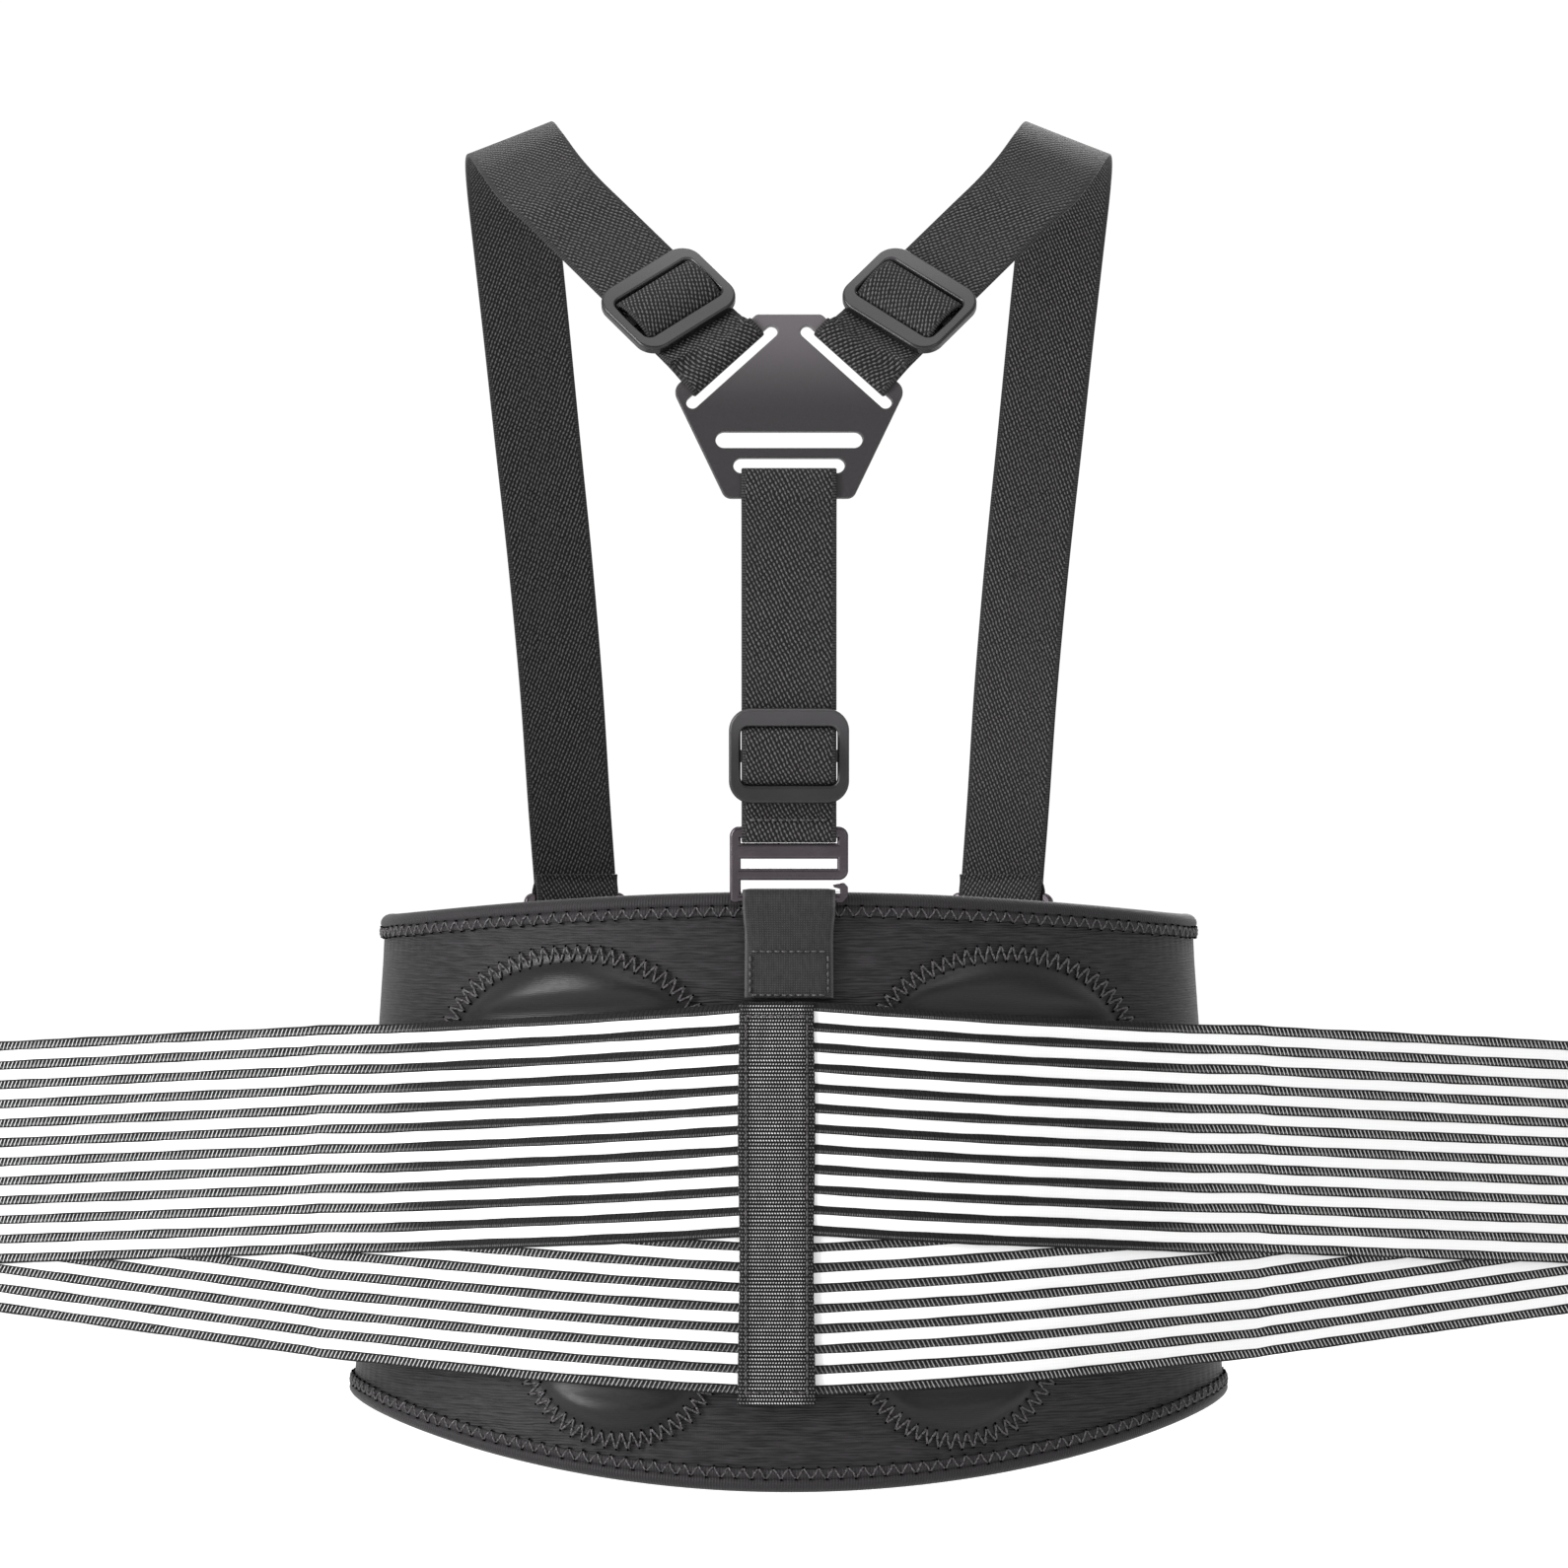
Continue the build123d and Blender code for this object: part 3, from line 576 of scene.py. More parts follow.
def twill_webbing():
    """Elastic webbing: steep diagonal rows of light thread points and a plain selvedge."""
    shade = Shader("twill_webbing", 0.6, Sheen_Weight=0.04, Specular_IOR_Level=0.2)
    along, across = shade.cloth()
    wander = shade.noise(4.0, (0.6, 1.0, 1.0)) * 1.5
    ridge = shade.wave(across + along * 0.5 + wander, 1.7)
    stitch = shade.wave(along + across * -0.7 + wander, 2.3)
    grain = shade.noise(0.9, (0.7, 1.3, 1.0), 3.0)
    dash = shade.step(ridge * (stitch * 0.5 + 0.5) * (grain * 1.7 + 0.15), 0.32, 0.9)
    selvedge = shade.step(abs(across), 17.0, 17.4)
    share = dash * (1.0 - selvedge) + shade.wave(along, 1.1) * 0.35 * selvedge
    return shade.finish(shade.between(share, "#050505", "#5a5859"), ridge + grain * 0.5, 0.18)


def plain_webbing():
    """Thin tightly woven webbing with a paler selvedge."""
    shade = Shader("plain_webbing", 0.62, Sheen_Weight=0.04, Specular_IOR_Level=0.25)
    along, across = shade.cloth()
    weave = shade.wave(across, 1.0) * shade.wave(along + shade.noise(7.0) * 0.5, 0.95)
    grain = shade.noise(2.2, (0.5, 1.4, 1.0), 3.0)
    share = weave * 0.45 + grain * 0.45 + shade.step(abs(across), 17.2, 17.9) * 0.7
    return shade.finish(shade.between(share, "#070707", "#454445"), weave + grain * 0.4, 0.14)


def band_cord(name, net_from, net_full, dots):
    """Dark elastic rib; past a distance along the band its slanted threads part and show light gaps."""
    shade = Shader(name, 0.62, Sheen_Weight=0.03, Specular_IOR_Level=0.15)
    along, across = shade.cloth()
    jitter = shade.noise(5.0) * 0.7
    tooth = shade.wave(along + across * 0.5 + jitter, 1.88)
    gap = shade.step(tooth, 0.76, 0.93) * (1.0 - shade.step(abs(across), 1.2, 1.6))
    grain = shade.noise(1.3, detail=3.0)
    net = gap * shade.step(along, net_from, net_full) * (grain * 0.9 + 0.2)
    row = 1.0 - shade.step(abs(across + 0.75), 0.2, 0.6)
    dot = row * shade.wave(along + jitter, 1.0) * (grain * dots)
    dark = shade.between(tooth * 0.3 + grain * 0.5, "#060606", "#242324")
    return shade.finish(shade.between(net + dot, dark, "#e2e2e2"), tooth + 0.3 - gap, 0.2)


def band_white():
    """White knitted web between the ribs."""
    shade = Shader("band_white", 0.8, Specular_IOR_Level=0.1)
    along, across = shade.cloth()
    knit = shade.wave(along, 1.2) * shade.wave(across, 1.25)
    return shade.finish(shade.between(knit * 0.5, "#f2f2f2", "#e9e9e9"), knit, 0.03)


def grosgrain():
    """Ribbed ribbon: every second rib is stronger, with light points where the threads cross, and a painted
    highlight that brightens the points down its middle.
    """
    shade = Shader("grosgrain", 0.5, Sheen_Weight=0.02, Specular_IOR_Level=0.2)
    along, across = shade.cloth()
    rib = shade.wave(along, rib_pitch) * (shade.wave(along, 2 * rib_pitch, 0.6) * 0.2 + 0.8)
    shift = shade.wave(along, 2 * rib_pitch) * 0.57
    point = shade.wave(across + shift + shade.noise(7.0) * 0.6, 1.14)
    dot = shade.step(rib * (point * 0.75 + 0.25), 0.35, 0.8)
    # Painted highlight: the thread points are brighter across the ribbon's middle, standing in for light on
    # its curve.
    middle = 1.0 - shade.step(abs(across), 9.0, 12.5)
    dots_and_painted_highlight = dot * (middle * (shade.noise(9.0, (0.5, 1.6, 1.0)) + 0.05) + 0.22)
    return shade.finish(shade.between(dots_and_painted_highlight, "#030303", "#e8e6e7"), dot * 0.7 + point * 0.3, 0.14)


def sewing_thread():
    shade = Shader("sewing_thread", 0.4, Sheen_Weight=0.05, Specular_IOR_Level=0.5)
    ply = shade.noise(0.55, solid=True)
    return shade.finish(shade.between(shade.step(ply, 0.3, 0.75), "#0b0a0b", "#5d595c"), ply, 0.1)


def needle_hole_shade():
    """Painted shade: the small dark pit that a stitch pulls into the cloth, drawn as a near-black bead."""
    shade = Shader("needle_hole_shade", 1.0, Specular_IOR_Level=0.0)
    fuzz = shade.noise(0.4, solid=True)
    return shade.finish(shade.between(fuzz, "#000000", "#080708"), fuzz, 0.05)


def tape(name, size, low, high, depth):
    """Hook or loop tape: a dense field of tiny hooks or loops."""
    shade = Shader(name, 0.8, Sheen_Weight=0.4)
    along, across = shade.cloth()
    field = shade.wave(along, size) * shade.wave(across, size)
    share = field * 0.5 + shade.noise(size * 0.8, detail=4.0) * 0.5
    return shade.finish(shade.between(share, low, high), share, depth)


def moulded_plastic():
    """Satin moulded plastic with a faint orange peel and a painted highlight: paler towards its top, as if
    lit from above.
    """
    shade = Shader("moulded_plastic", 0.32, Specular_IOR_Level=0.45)
    # Painted highlight: the colour grows paler towards the top of each piece, standing in for light from
    # above.
    rise = shade.step(shade.place("Generated")[2], 0.4, 1.0)
    peel = shade.noise(0.8, detail=3.0, solid=True)
    patch = shade.noise(14.0, solid=True)
    colour = shade.between(rise * 0.75 + patch * 0.25, "#0e0d0f", "#3c3a3c")
    return shade.finish(colour, peel, 0.02, patch * 0.14 + 0.25)


def yoke_plastic():
    """Satin plate with a painted highlight: paler towards its top, as if lit from above."""
    shade = Shader("yoke_plastic", 0.4, Specular_IOR_Level=0.4)
    low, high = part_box("yoke_plate")
    # Painted highlight: the colour grows paler towards the plate's top, standing in for light from above.
    rise = shade.step(shade.place("Object")[2], low.z + 0.45 * (high.z - low.z), high.z)
    peel = shade.noise(0.7, detail=3.0, solid=True)
    colour = shade.between(peel * 0.12 + rise * 0.88, "#262426", "#5b575a")
    return shade.finish(colour, peel, 0.015, peel * 0.12 + 0.33)


def coated_metal():
    """Dark nickel plating with faint drawing lines."""
    shade = Shader("coated_metal", 0.26, Metallic=0.9, Specular_IOR_Level=0.5)
    drawn = shade.noise(1.6, (0.5, 0.5, 2.0), 3.0, solid=True)
    cloud = shade.noise(9.0, solid=True)
    colour = shade.between(drawn * 0.3 + cloud * 0.7, "#3b363a", "#575155")
    return shade.finish(colour, drawn, 0.01, cloud * 0.12 + 0.2)


def spring_steel():
    shade = Shader("spring_steel", 0.3, Metallic=1.0)
    brush = shade.noise(1.5, (8.0, 8.0, 0.3), 3.0, solid=True)
    return shade.finish(shade.between(brush, "#8f9092", "#bdbec0"), brush, 0.02)


finishes = {
    "neoprene": neoprene(), "pad": pad_cover(), "binding": binding_tape(), "lining": lining_mesh(),
    "twill": twill_webbing(), "webbing": plain_webbing(), "ribbon": grosgrain(),
    "cord_tight": band_cord("cord_tight", 150.0, 195.0, 0.3),
    "cord_net": band_cord("cord_net", -90.0, 190.0, 0.1), "white": band_white(),
    "hook_tape": tape("hook_tape", 1.6, "#0d0d0e", "#3a393b", 0.5),
    "loop_tape": tape("loop_tape", 1.1, "#1a191b", "#3e3c3f", 0.4),
    "thread": sewing_thread(), "needle_hole_shade": needle_hole_shade(), "plastic": moulded_plastic(),
    "yoke": yoke_plastic(), "metal": coated_metal(), "steel": spring_steel(),
}


def settle(piece, body, slot, *replaced):
    """The piece rides on a body and stands for CAD nodes, which are hidden; slot is not used."""
    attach(piece, body)
    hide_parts(*replaced)


def bend(piece, bodies, start, end, slot, *replaced):
    """Bakes the piece's placement into its mesh and hides the CAD nodes it stands for; the two bodies and the
    two points in millimetres are not used.
    """
    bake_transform(piece)
    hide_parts(*replaced)


# --- Belt ---
def belt_grid(start, end, edge_inset, columns, rows):
    """Angles and heights over the belt between two ends, each a function of height."""
    share = np.linspace(0, 1, columns)[None, :]
    height = np.linspace(0, 1, rows)[:, None]
    z = np.zeros((rows, columns))
    for _ in range(4):
        theta = start(z) * (1 - share) + end(z) * share
        low = edge_z(theta, False) + edge_inset
        high = edge_z(theta, True) - edge_inset
        z = low + (high - low) * height
    return theta, z


def belt_sheet(name, start, end, layers, edge_inset, columns, rows, pucker):
    """One layer of the belt, drawn in a little along its stitched edges, with its flat size."""
    theta, z = belt_grid(start, end, edge_inset, columns, rows)
    middle = waist_point(theta[rows // 2], z[rows // 2], layers[1])
    along = np.broadcast_to(lengths(middle)[None, :], theta.shape)
    from_edge = np.minimum(edge_z(theta, True) - z, z - edge_z(theta, False))
    near = np.exp(-np.abs(from_edge - binding_width - 1) / 3.5) * (from_edge > binding_width)
    slow = 0.25 * np.sin(along / 31.0 + z / 47.0) * ease(from_edge, 8, 20)
    outer = layers[1] - pucker * near * (0.5 + 0.5 * np.cos(along * 2 * math.pi / 5.5)) - np.abs(slow)
    piece = Piece()
    piece.slab(waist_point(theta, z, outer), waist_point(theta, z, layers[0]), np.stack([along, z], -1))
    made = piece.make(name + "_cloth", finishes["lining" if name == "inner_lining" else "neoprene"])
    return made, float(lengths(middle)[-1]), float((z[-1] - z[0]).mean())


def side_end(sign):
    return lambda z: sign * math.pi / 2 + 0 * z


def wing_end(x, sign):
    return lambda z: sign * math.pi - np.arcsin(x / girth(z, 6)[0])


def belt():
    left_side, right_side = side_end(-1), side_end(1)
    # Name, both ends, layers, inset from the edge, columns, rows and pucker.
    sheets = (("back_panel", left_side, right_side, panel_layer, 0.0, 440, 60, 0.3),
              ("inner_lining", left_side, right_side, lining_layer, 0.5, 160, 40, 0.0),
              ("right_wing", right_side, wing_end(right_wing_end, 1), wing_layer, 0.0, 360, 50, 0.3),
              ("left_wing", wing_end(left_wing_end, -1), left_side, wing_layer, 0.0, 360, 50, 0.3))
    for name, *rest in sheets:
        sheet, width, height = belt_sheet(name, *rest)
        inside = name == "inner_lining"
        settle(sheet, "brace", "lining" if inside else "neoprene", name)


def tape_section(upper):
    """Folded edge tape, as (layer, height over the belt's edge) round its closed outline."""
    outer = [(6.45, -8.2), (7.0, -8.15), (7.35, -7.8), (7.6, -7.2), (7.75, -6.5), (7.75, -5.8), (7.6, -5.2),
             (7.2, -4.7), (7.0, -4.3), (7.35, -3.9), (7.7, -3.2), (7.75, -2.2), (7.5, -1.2), (6.9, -0.2),
             (5.9, 0.6), (4.6, 1.05), (3.0, 1.2), (1.1, 1.05), (-0.5, 0.2), (-1.2, -1.4), (-1.25, -4.0),
             (-1.2, -7.9), (-0.6, -8.1)]
    inner = [(-0.25, -7.8), (-0.25, -1.2), (0.4, -0.1), (3.0, 0.1), (5.6, -0.1), (6.2, -1.2), (6.2, -7.8)]
    section = np.array(outer + inner)
    if not upper:
        section[:, 1] *= -1
        section = section[::-1]
    return section


def edge_binding(name, upper):
    """Edge tape round the whole belt, drawn into beads by its zigzag stitches."""
    first = -math.pi - math.asin(left_wing_end / waist_half_width)
    last = math.pi - math.asin(right_wing_end / waist_half_width)
    theta = np.linspace(first, last, 4000)
    theta = every(waist_point(theta, edge_z(theta, upper), 6.0), 0.8, theta[:, None])[1][:, 0]
    edge = edge_z(theta, upper)
    along = lengths(waist_point(theta, edge, 6.0))
    section = tape_section(upper)
    drop = np.abs(section[:, 1])
    face = section[:, 0] > 6.4
    phase = along / bead_pitch + 0.06 * np.sin(along / 7.3)
    bead = np.abs(np.cos(phase * math.pi)) ** 0.6
    uneven = 0.5 + 0.5 * np.sin(along / 23.0)
    roll = np.exp(-((drop - 2.4) / 1.6) ** 2) * face
    lip = np.exp(-((drop - 6.3) / 1.5) ** 2) * face
    layer = (section[None, :, 0] + roll[None] * (0.15 * uneven)[:, None]
             + lip[None] * (1.0 * bead - 0.8 + 0.1 * np.sin(along / 2.9))[:, None])
    z = edge[:, None] + section[None, :, 1]
    rings = waist_point(theta[:, None], z, layer)
    around = np.concatenate([[0], np.cumsum(np.hypot(*np.diff(section, axis=0).T))])
    piece = Piece()
    piece.tube(rings, on_cloth(along, around))
    sign = 1 if upper else -1
    marks = np.arange(bead_pitch / 2, along[-1] - bead_pitch, bead_pitch / 4)
    marks = marks + 0.25 * np.sin(marks * 1.7)
    angle = np.interp(marks, along, theta)
    turn = np.arange(len(marks)) % 4
    drop = np.array([4.35, 6.5, 8.75, 6.5])[turn] + 0.2 * np.sin(marks * 2.3)
    level = np.array([7.05, 7.75, 6.55, 7.75])[turn]
    ends = waist_point(angle, edge_z(angle, upper) - sign * drop, level)
    out = waist_out(angle)
    piece.threads(ends[:-1], ends[1:], out[:-1], radius=0.34, lift=0.38)
    corner = turn % 2 == 0
    piece.painted_hole_shade(ends[corner] + 0.25 * out[corner], np.broadcast_to([0.0, 0.0, 1.0], ends[corner].shape),
               out[corner])
    made = piece.make(name + "_tape", finishes["binding"], finishes["thread"], finishes["needle_hole_shade"])
    settle(made, "brace", "binding", name)


# --- Pads ---
def half_ellipse(centre, half_width, height, start):
    """Half an ellipse, anticlockwise from an angle."""
    angles = np.radians(start + np.linspace(0, 180, 90))
    return np.array(centre) + np.stack([half_width * np.cos(angles), height * np.sin(angles)], -1)


def pad_outline():
    """Egg-shaped outline in x and z, wide at the top, anticlockwise."""
    top = half_ellipse((pad_top_x, pad_shoulder_z), pad_top_half, pad_top_z - pad_shoulder_z, 0)
    low = half_ellipse((pad_low_x, pad_hip_z), pad_low_half, pad_hip_z - pad_low_z, 180)
    return even_outline(np.vstack([top, low]), 1.6)


def band_edge(x, centre, sign):
    return np.interp(x, band_places, centre[:3]) + sign * band_cover


def pad_limit(x, z):
    """How far the pad may swell: little under the bands, more where it bulges out past them."""
    above = z - band_edge(x, upper_centre, 1)
    below = band_edge(x, lower_centre, -1) - z
    return 3.5 + 4.6 * ease(np.maximum(above, below), 1.0, 11.0)


def shape_of(piece):
    """The piece's mesh with its modifiers applied, and that mesh's points and faces."""
    depsgraph = bpy.context.evaluated_depsgraph_get()
    mesh = bpy.data.meshes.new_from_object(piece.evaluated_get(depsgraph))
    faces = [list(polygon.vertices) for polygon in mesh.polygons]
    return mesh, np.array([v.co for v in mesh.vertices]), faces


def swell(piece):
    """Cloth simulation of a closed form under pressure; returns its points and faces."""
    remesh = piece.modifiers.new("remesh", "REMESH")
    remesh.mode = "VOXEL"
    remesh.voxel_size = pad_voxel * MM
    mesh, start, faces = shape_of(piece)
    piece.modifiers.clear()
    piece.data = mesh
    final = start
    cloth = piece.modifiers.new("cloth", "CLOTH")
    cloth.settings.use_pressure = True
    cloth.settings.uniform_pressure_force = pad_pressure
    cloth.settings.effector_weights.gravity = 0.0
    cloth.point_cache.frame_start = 1
    cloth.point_cache.frame_end = 20
    for number in range(1, 21):
        bpy.context.scene.frame_set(number)
    final = shape_of(piece)[1]
    piece.modifiers.clear()
    bpy.context.scene.frame_set(1)
    move = final - start
    far = np.linalg.norm(move, axis=1, keepdims=True)
    return start + move * np.minimum(1, pad_swell * MM / np.maximum(far, 1e-9)), faces


def subdivided(points, faces):
    """One round of smooth subdivision."""
    mesh = bpy.data.meshes.new("soft")
    mesh.from_pydata(points.tolist(), [], faces)
    holder = bpy.data.objects.new("soft", mesh)
    bpy.context.scene.collection.objects.link(holder)
    holder.modifiers.new("finer", "SUBSURF").levels = 1
    points, faces = shape_of(holder)[1:]
    bpy.data.objects.remove(holder)
    return points, faces


def depth_inside(x, z, outline):
    """Distance from the pad's outline, for points inside it."""
    points = np.stack([x, z], -1)
    depth = np.empty(len(points))
    for first in range(0, len(points), 4000):
        part = points[first:first + 4000]
        depth[first:first + 4000] = np.sqrt(((part[:, None] - outline[None]) ** 2).sum(-1)).min(1)
    return depth


def right_pad_form(outline):
    """Domed foam pad with a flat sewn flange, worked out flat and then laid round the waist."""
    flat = Piece()
    disc(flat, inset(outline, 1.0), [(0.0, 0.0), (0.8, 2.4), (5.0, 3.0)],
         lambda x, z, t: np.stack([x, z, t + 3], -1))
    source = flat.make("pad_form", finishes["pad"])
    points, faces = swell(source)
    bpy.data.objects.remove(source)
    points, faces = subdivided(points, faces)
    points = points / MM
    x, z, rise = points[:, 0], points[:, 1], points[:, 2]
    depth = depth_inside(x, z, outline)
    flange = pad_flange * np.sqrt(ease(depth, -0.2, 1.4))
    limit = pad_limit(x, z)
    full = np.tanh(np.maximum(rise, 0) / limit * 1.6)
    dome = (limit - pad_flange) * full * (1 - np.exp(-np.maximum(depth - 7.0, 0) / 4.2))
    wrinkle = 0.12 * np.sin(x / 6.0 + np.sin(z / 9.0) * 2.0) * ease(depth, 8, 16) * ease(limit, 4, 7)
    layer = pad_base + np.where(rise > 1.2, flange + dome + wrinkle, 0.0)
    theta = back_angle(x, z, layer)
    return waist_point(theta, z, layer), np.stack([theta * 150, z], -1), faces


def pads():
    outline = pad_outline()
    points, uvs, faces = right_pad_form(outline)
    seam = every(np.vstack([outline, outline[:1]]), 1.2)
    seam = seam[:4 * (len(seam) // 4)]
    turn = np.arange(len(seam)) % 4
    depth = np.array([0.5, 3.8, 7.2, 3.8])[turn] + 0.3 * np.sin(np.arange(len(seam)) * 1.3)
    flat = seam + (inset(seam, 1.0) - seam) * depth[:, None]
    layer = pad_base + np.array([0.35, pad_flange + 0.3, pad_flange + 0.1, pad_flange + 0.3])[turn]
    theta = back_angle(flat[:, 0], flat[:, 1], layer)
    ends = waist_point(theta, flat[:, 1], layer)
    out = waist_out(theta)
    run = unit(np.roll(ends, -1, 0) - np.roll(ends, 1, 0))
    corner = turn % 2 == 0
    for side in ("right", "left"):
        piece = Piece(mirror=side == "left")
        piece.add(points, uvs, faces)
        piece.threads(ends, np.roll(ends, -1, 0), out, radius=0.42, lift=0.5)
        piece.painted_hole_shade(ends[corner] + 0.3 * out[corner], run[corner], out[corner])
        pad = piece.make(side + "_pad_cushion", finishes["pad"], finishes["thread"], finishes["needle_hole_shade"])
        settle(pad, "brace", "pad_cover", side + "_pad")


# --- Elastic bands ---
pull = np.array([math.cos(pull_angle), math.sin(pull_angle), 0.0])
pull_out = np.array([math.sin(pull_angle), -math.cos(pull_angle), 0.0])


def swing_point(layer):
    """Point of the bands' swing axis in plan, shifted to a layer of the band stack."""
    half_width, half_depth = girth(0, hinge_layer)
    leave = math.atan(math.tan(pull_angle) * half_width / half_depth)
    start = np.array([half_width * math.sin(leave), -half_depth * math.cos(leave), 0.0])
    run = (band_hinge_x - start[0]) / pull[0]
    return start + run * pull + (layer - hinge_layer) * pull_out


def band_plan(station, z, layer):
    """Plan of a band: 0 to 1 round the waist, 1 to 2 straight to the swing axis, 2 to 3 to the tab."""
    half_width, half_depth = girth(z, layer)
    hinge = swing_point(layer)
    across, along = hinge[0] / half_width, -hinge[1] / half_depth
    leave = np.arctan2(across, along) - np.arccos(1 / np.hypot(across, along))
    start = np.arcsin(band_start / half_width)
    angle = start + (leave - start) * np.clip(station, 0, 1)
    x, y = half_width * np.sin(angle), -half_depth * np.cos(angle)
    straight = np.clip(station - 1, 0, 1)
    beyond = np.clip(station - 2, 0, 2) * band_run
    x = x + (hinge[0] - x) * straight + beyond * pull[0]
    y = y + (hinge[1] - y) * straight + beyond * pull[1]
    return x, y


def band_centre(station, centre):
    x = band_plan(station, np.zeros_like(station), hinge_layer)[0]
    on_belt = np.interp(x, band_places, centre[:3])
    return on_belt + (centre[3] - centre[2]) * np.clip(station - 2, 0, 2)


def band_line(stations, centre, layer, offset):
    """Path of one rib of a band, a height from the band's middle line."""
    z = band_centre(stations, centre) + offset
    x, y = band_plan(stations, z, layer)
    return np.stack([x, y, z], -1)


def band_piece(name, side, centre, layer, stations, cord, start):
    """A length of one band: dark ribs joined by a white web."""
    piece = Piece(mirror=side == "left")
    turn = np.arange(12) * math.pi / 6
    rib_across = np.sign(np.cos(turn)) * np.abs(np.cos(turn)) ** 0.7
    rib_out = 0.52 * np.sign(np.sin(turn)) * np.abs(np.sin(turn)) ** 0.6
    half = (cord_pitch - cord_width) / 2 + 0.5
    web_across = half * np.array([-1, -1 / 3, 1 / 3, 1, 1, 1 / 3, -1 / 3, -1])
    web_out = np.array([-0.2, -0.26, -0.26, -0.2, 0.2, 0.26, 0.26, 0.2])

    def strand(place, wobble, across, out, slot):
        """One rib or web, its place counted in ribs from the lowest; wobble varies its width."""
        path = band_line(stations, centre, layer, (place - (cord_count - 1) / 2) * cord_pitch)
        run = unit(np.gradient(path, axis=0))
        outward = unit(np.cross(run, [0.0, 0.0, 1.0]))
        along = start + lengths(path)
        spread = wobble(along)[:, None] * across[None, :]
        rings = (path[:, None] + np.cross(outward, run)[:, None] * spread[..., None]
                 + outward[:, None] * out[None, :, None])
        piece.tube(rings, np.stack(np.broadcast_arrays(along[:, None], spread), -1), slot)

    for k in range(cord_count):
        strand(k, lambda along: cord_width / 2 * (1 + 0.05 * np.sin(along / 9.0 + 2.1 * k)
                                                  + 0.03 * np.sin(along / 3.7 + k)), rib_across, rib_out, 0)
    for k in range(cord_count - 1):
        strand(k + 0.5, np.ones_like, web_across, web_out, 1)
    return piece.make(name, cord, finishes["white"])


def signed(point, side):
    """The same point on the wearer's right or left."""
    return point * np.array([1 if side == "right" else -1, 1, 1])


def bands():
    meet = 2 + band_joint_at / band_run
    sewn = np.concatenate([np.linspace(0, 1, 60), np.linspace(1, 2, 14)[1:], np.linspace(2, meet, 24)[1:]])
    free = np.linspace(meet, 2 + band_end / band_run, 30)
    hinge = swing_point(hinge_layer)
    for side in ("right", "left"):
        for level, centre, layer in (("upper", upper_centre, upper_band_layer),
                                     ("lower", lower_centre, lower_band_layer)):
            cord = finishes["cord_tight" if level == "upper" else "cord_net"]
            length = float(lengths(band_line(sewn, centre, layer, 0.0))[-1])
            name = side + "_" + level + "_band"
            first = band_piece(name + "_sewn", side, centre, layer, sewn, cord, 0.0)
            bend(first, ("brace", side + "_band"), signed(hinge - 5 * pull, side),
                 signed(hinge + 5 * pull, side), "elastic", name + "_inner")
            second = band_piece(name + "_free", side, centre, layer, free, cord, length)
            fold = hinge + band_run * pull
            bend(second, (side + "_band", side + "_tab"), signed(fold - 4 * pull, side),
                 signed(fold + 3 * pull, side), "elastic", name + "_outer")


def spine_strip():
    """Grosgrain ribbon over the bands' sewn ends, with real ribs and its stitch lines."""
    count = int((strip_top - strip_bottom) / rib_pitch * 6)
    z = np.linspace(strip_bottom, strip_top, count)[:, None]
    across = np.linspace(-strip_width / 2, strip_width / 2, 31)[None, :]
    sway = 0.35 * np.sin(z / 17.0) * np.sign(across) * ease(np.abs(across), 10, 15)
    x = strip_x + across + sway
    hem = 0.45 * (ease(z - strip_top, -8.2, -7.6) + ease(strip_bottom - z, -8.2, -7.6))
    turn = z * math.pi / rib_pitch
    rib = 0.34 * (0.5 + 0.5 * np.sin(2 * turn)) * (0.92 + 0.08 * np.sin(turn))
    groove = 0.28 * np.exp(-((np.abs(across) - 12.2) / 0.7) ** 2)
    lip = 0.35 * (1 - ease(np.abs(across), 13.6, 15.0))
    outer = strip_layer[1] + hem + rib + lip - groove - 0.35
    outer, inner, z = np.broadcast_arrays(outer, strip_layer[0], z)
    uvs = np.stack([z, np.broadcast_to(across, z.shape)], -1)
    piece = Piece()
    piece.slab(waist_point(back_angle(x, z, outer), z, outer),
               waist_point(back_angle(x, z, inner), z, inner), uvs)
    back = np.array([0.0, -1.0, 0.0])
    for place in (-12.2, 12.2):
        line_z = np.linspace(strip_bottom + 4, strip_top - 4, 90)
        angle = back_angle(strip_x + place, line_z, 13.6)
        piece.dashes(waist_point(angle, line_z, 13.75), back, pitch=3.4)
    for height in (strip_top - 5.0, strip_bottom + 5.0):
        angle = back_angle(strip_x + np.linspace(-12, 12, 20), height, 13.8)
        piece.dashes(waist_point(angle, height, 14.15), back, pitch=3.0)
    strip = piece.make("spine_strip_ribbon", finishes["ribbon"], finishes["thread"])
    settle(strip, "brace", "ribbon", "spine_strip")


# --- Pull tabs ---
def on_tab(x, z, t):
    """Distance past the swing axis, height, and distance out from the tab's middle."""
    return (swing_point(hinge_layer) + x[..., None] * pull + t[..., None] * pull_out
            + z[..., None] * np.array([0.0, 0.0, 1.0]))


# Rims of flat pieces: inset from the outline and half thickness there.
bound_rim = [(0.0, 0.0), (0.25, 1.3), (1.0, 2.15), (3.2, 2.45), (5.6, 2.35), (6.5, 1.95), (8.0, 1.9)]
thin_rim = [(0.0, 0.0), (0.15, 0.35), (0.6, 0.5), (2.0, 0.5)]


def zigzag_ring(piece, outline, height, place, up):
    """Zigzag stitches between two insets of a bound outline."""
    seam = even_outline(outline, 1.5)
    depth = np.where(np.arange(len(seam)) % 2 == 0, 4.4, 7.6)
    flat = seam + (inset(seam, 1.0) - seam) * depth[:, None]
    ends = place(flat[:, 0], flat[:, 1], np.full(len(flat), height))
    piece.threads(ends, np.roll(ends, -1, 0), up, radius=0.36, lift=0.5, slot=2)


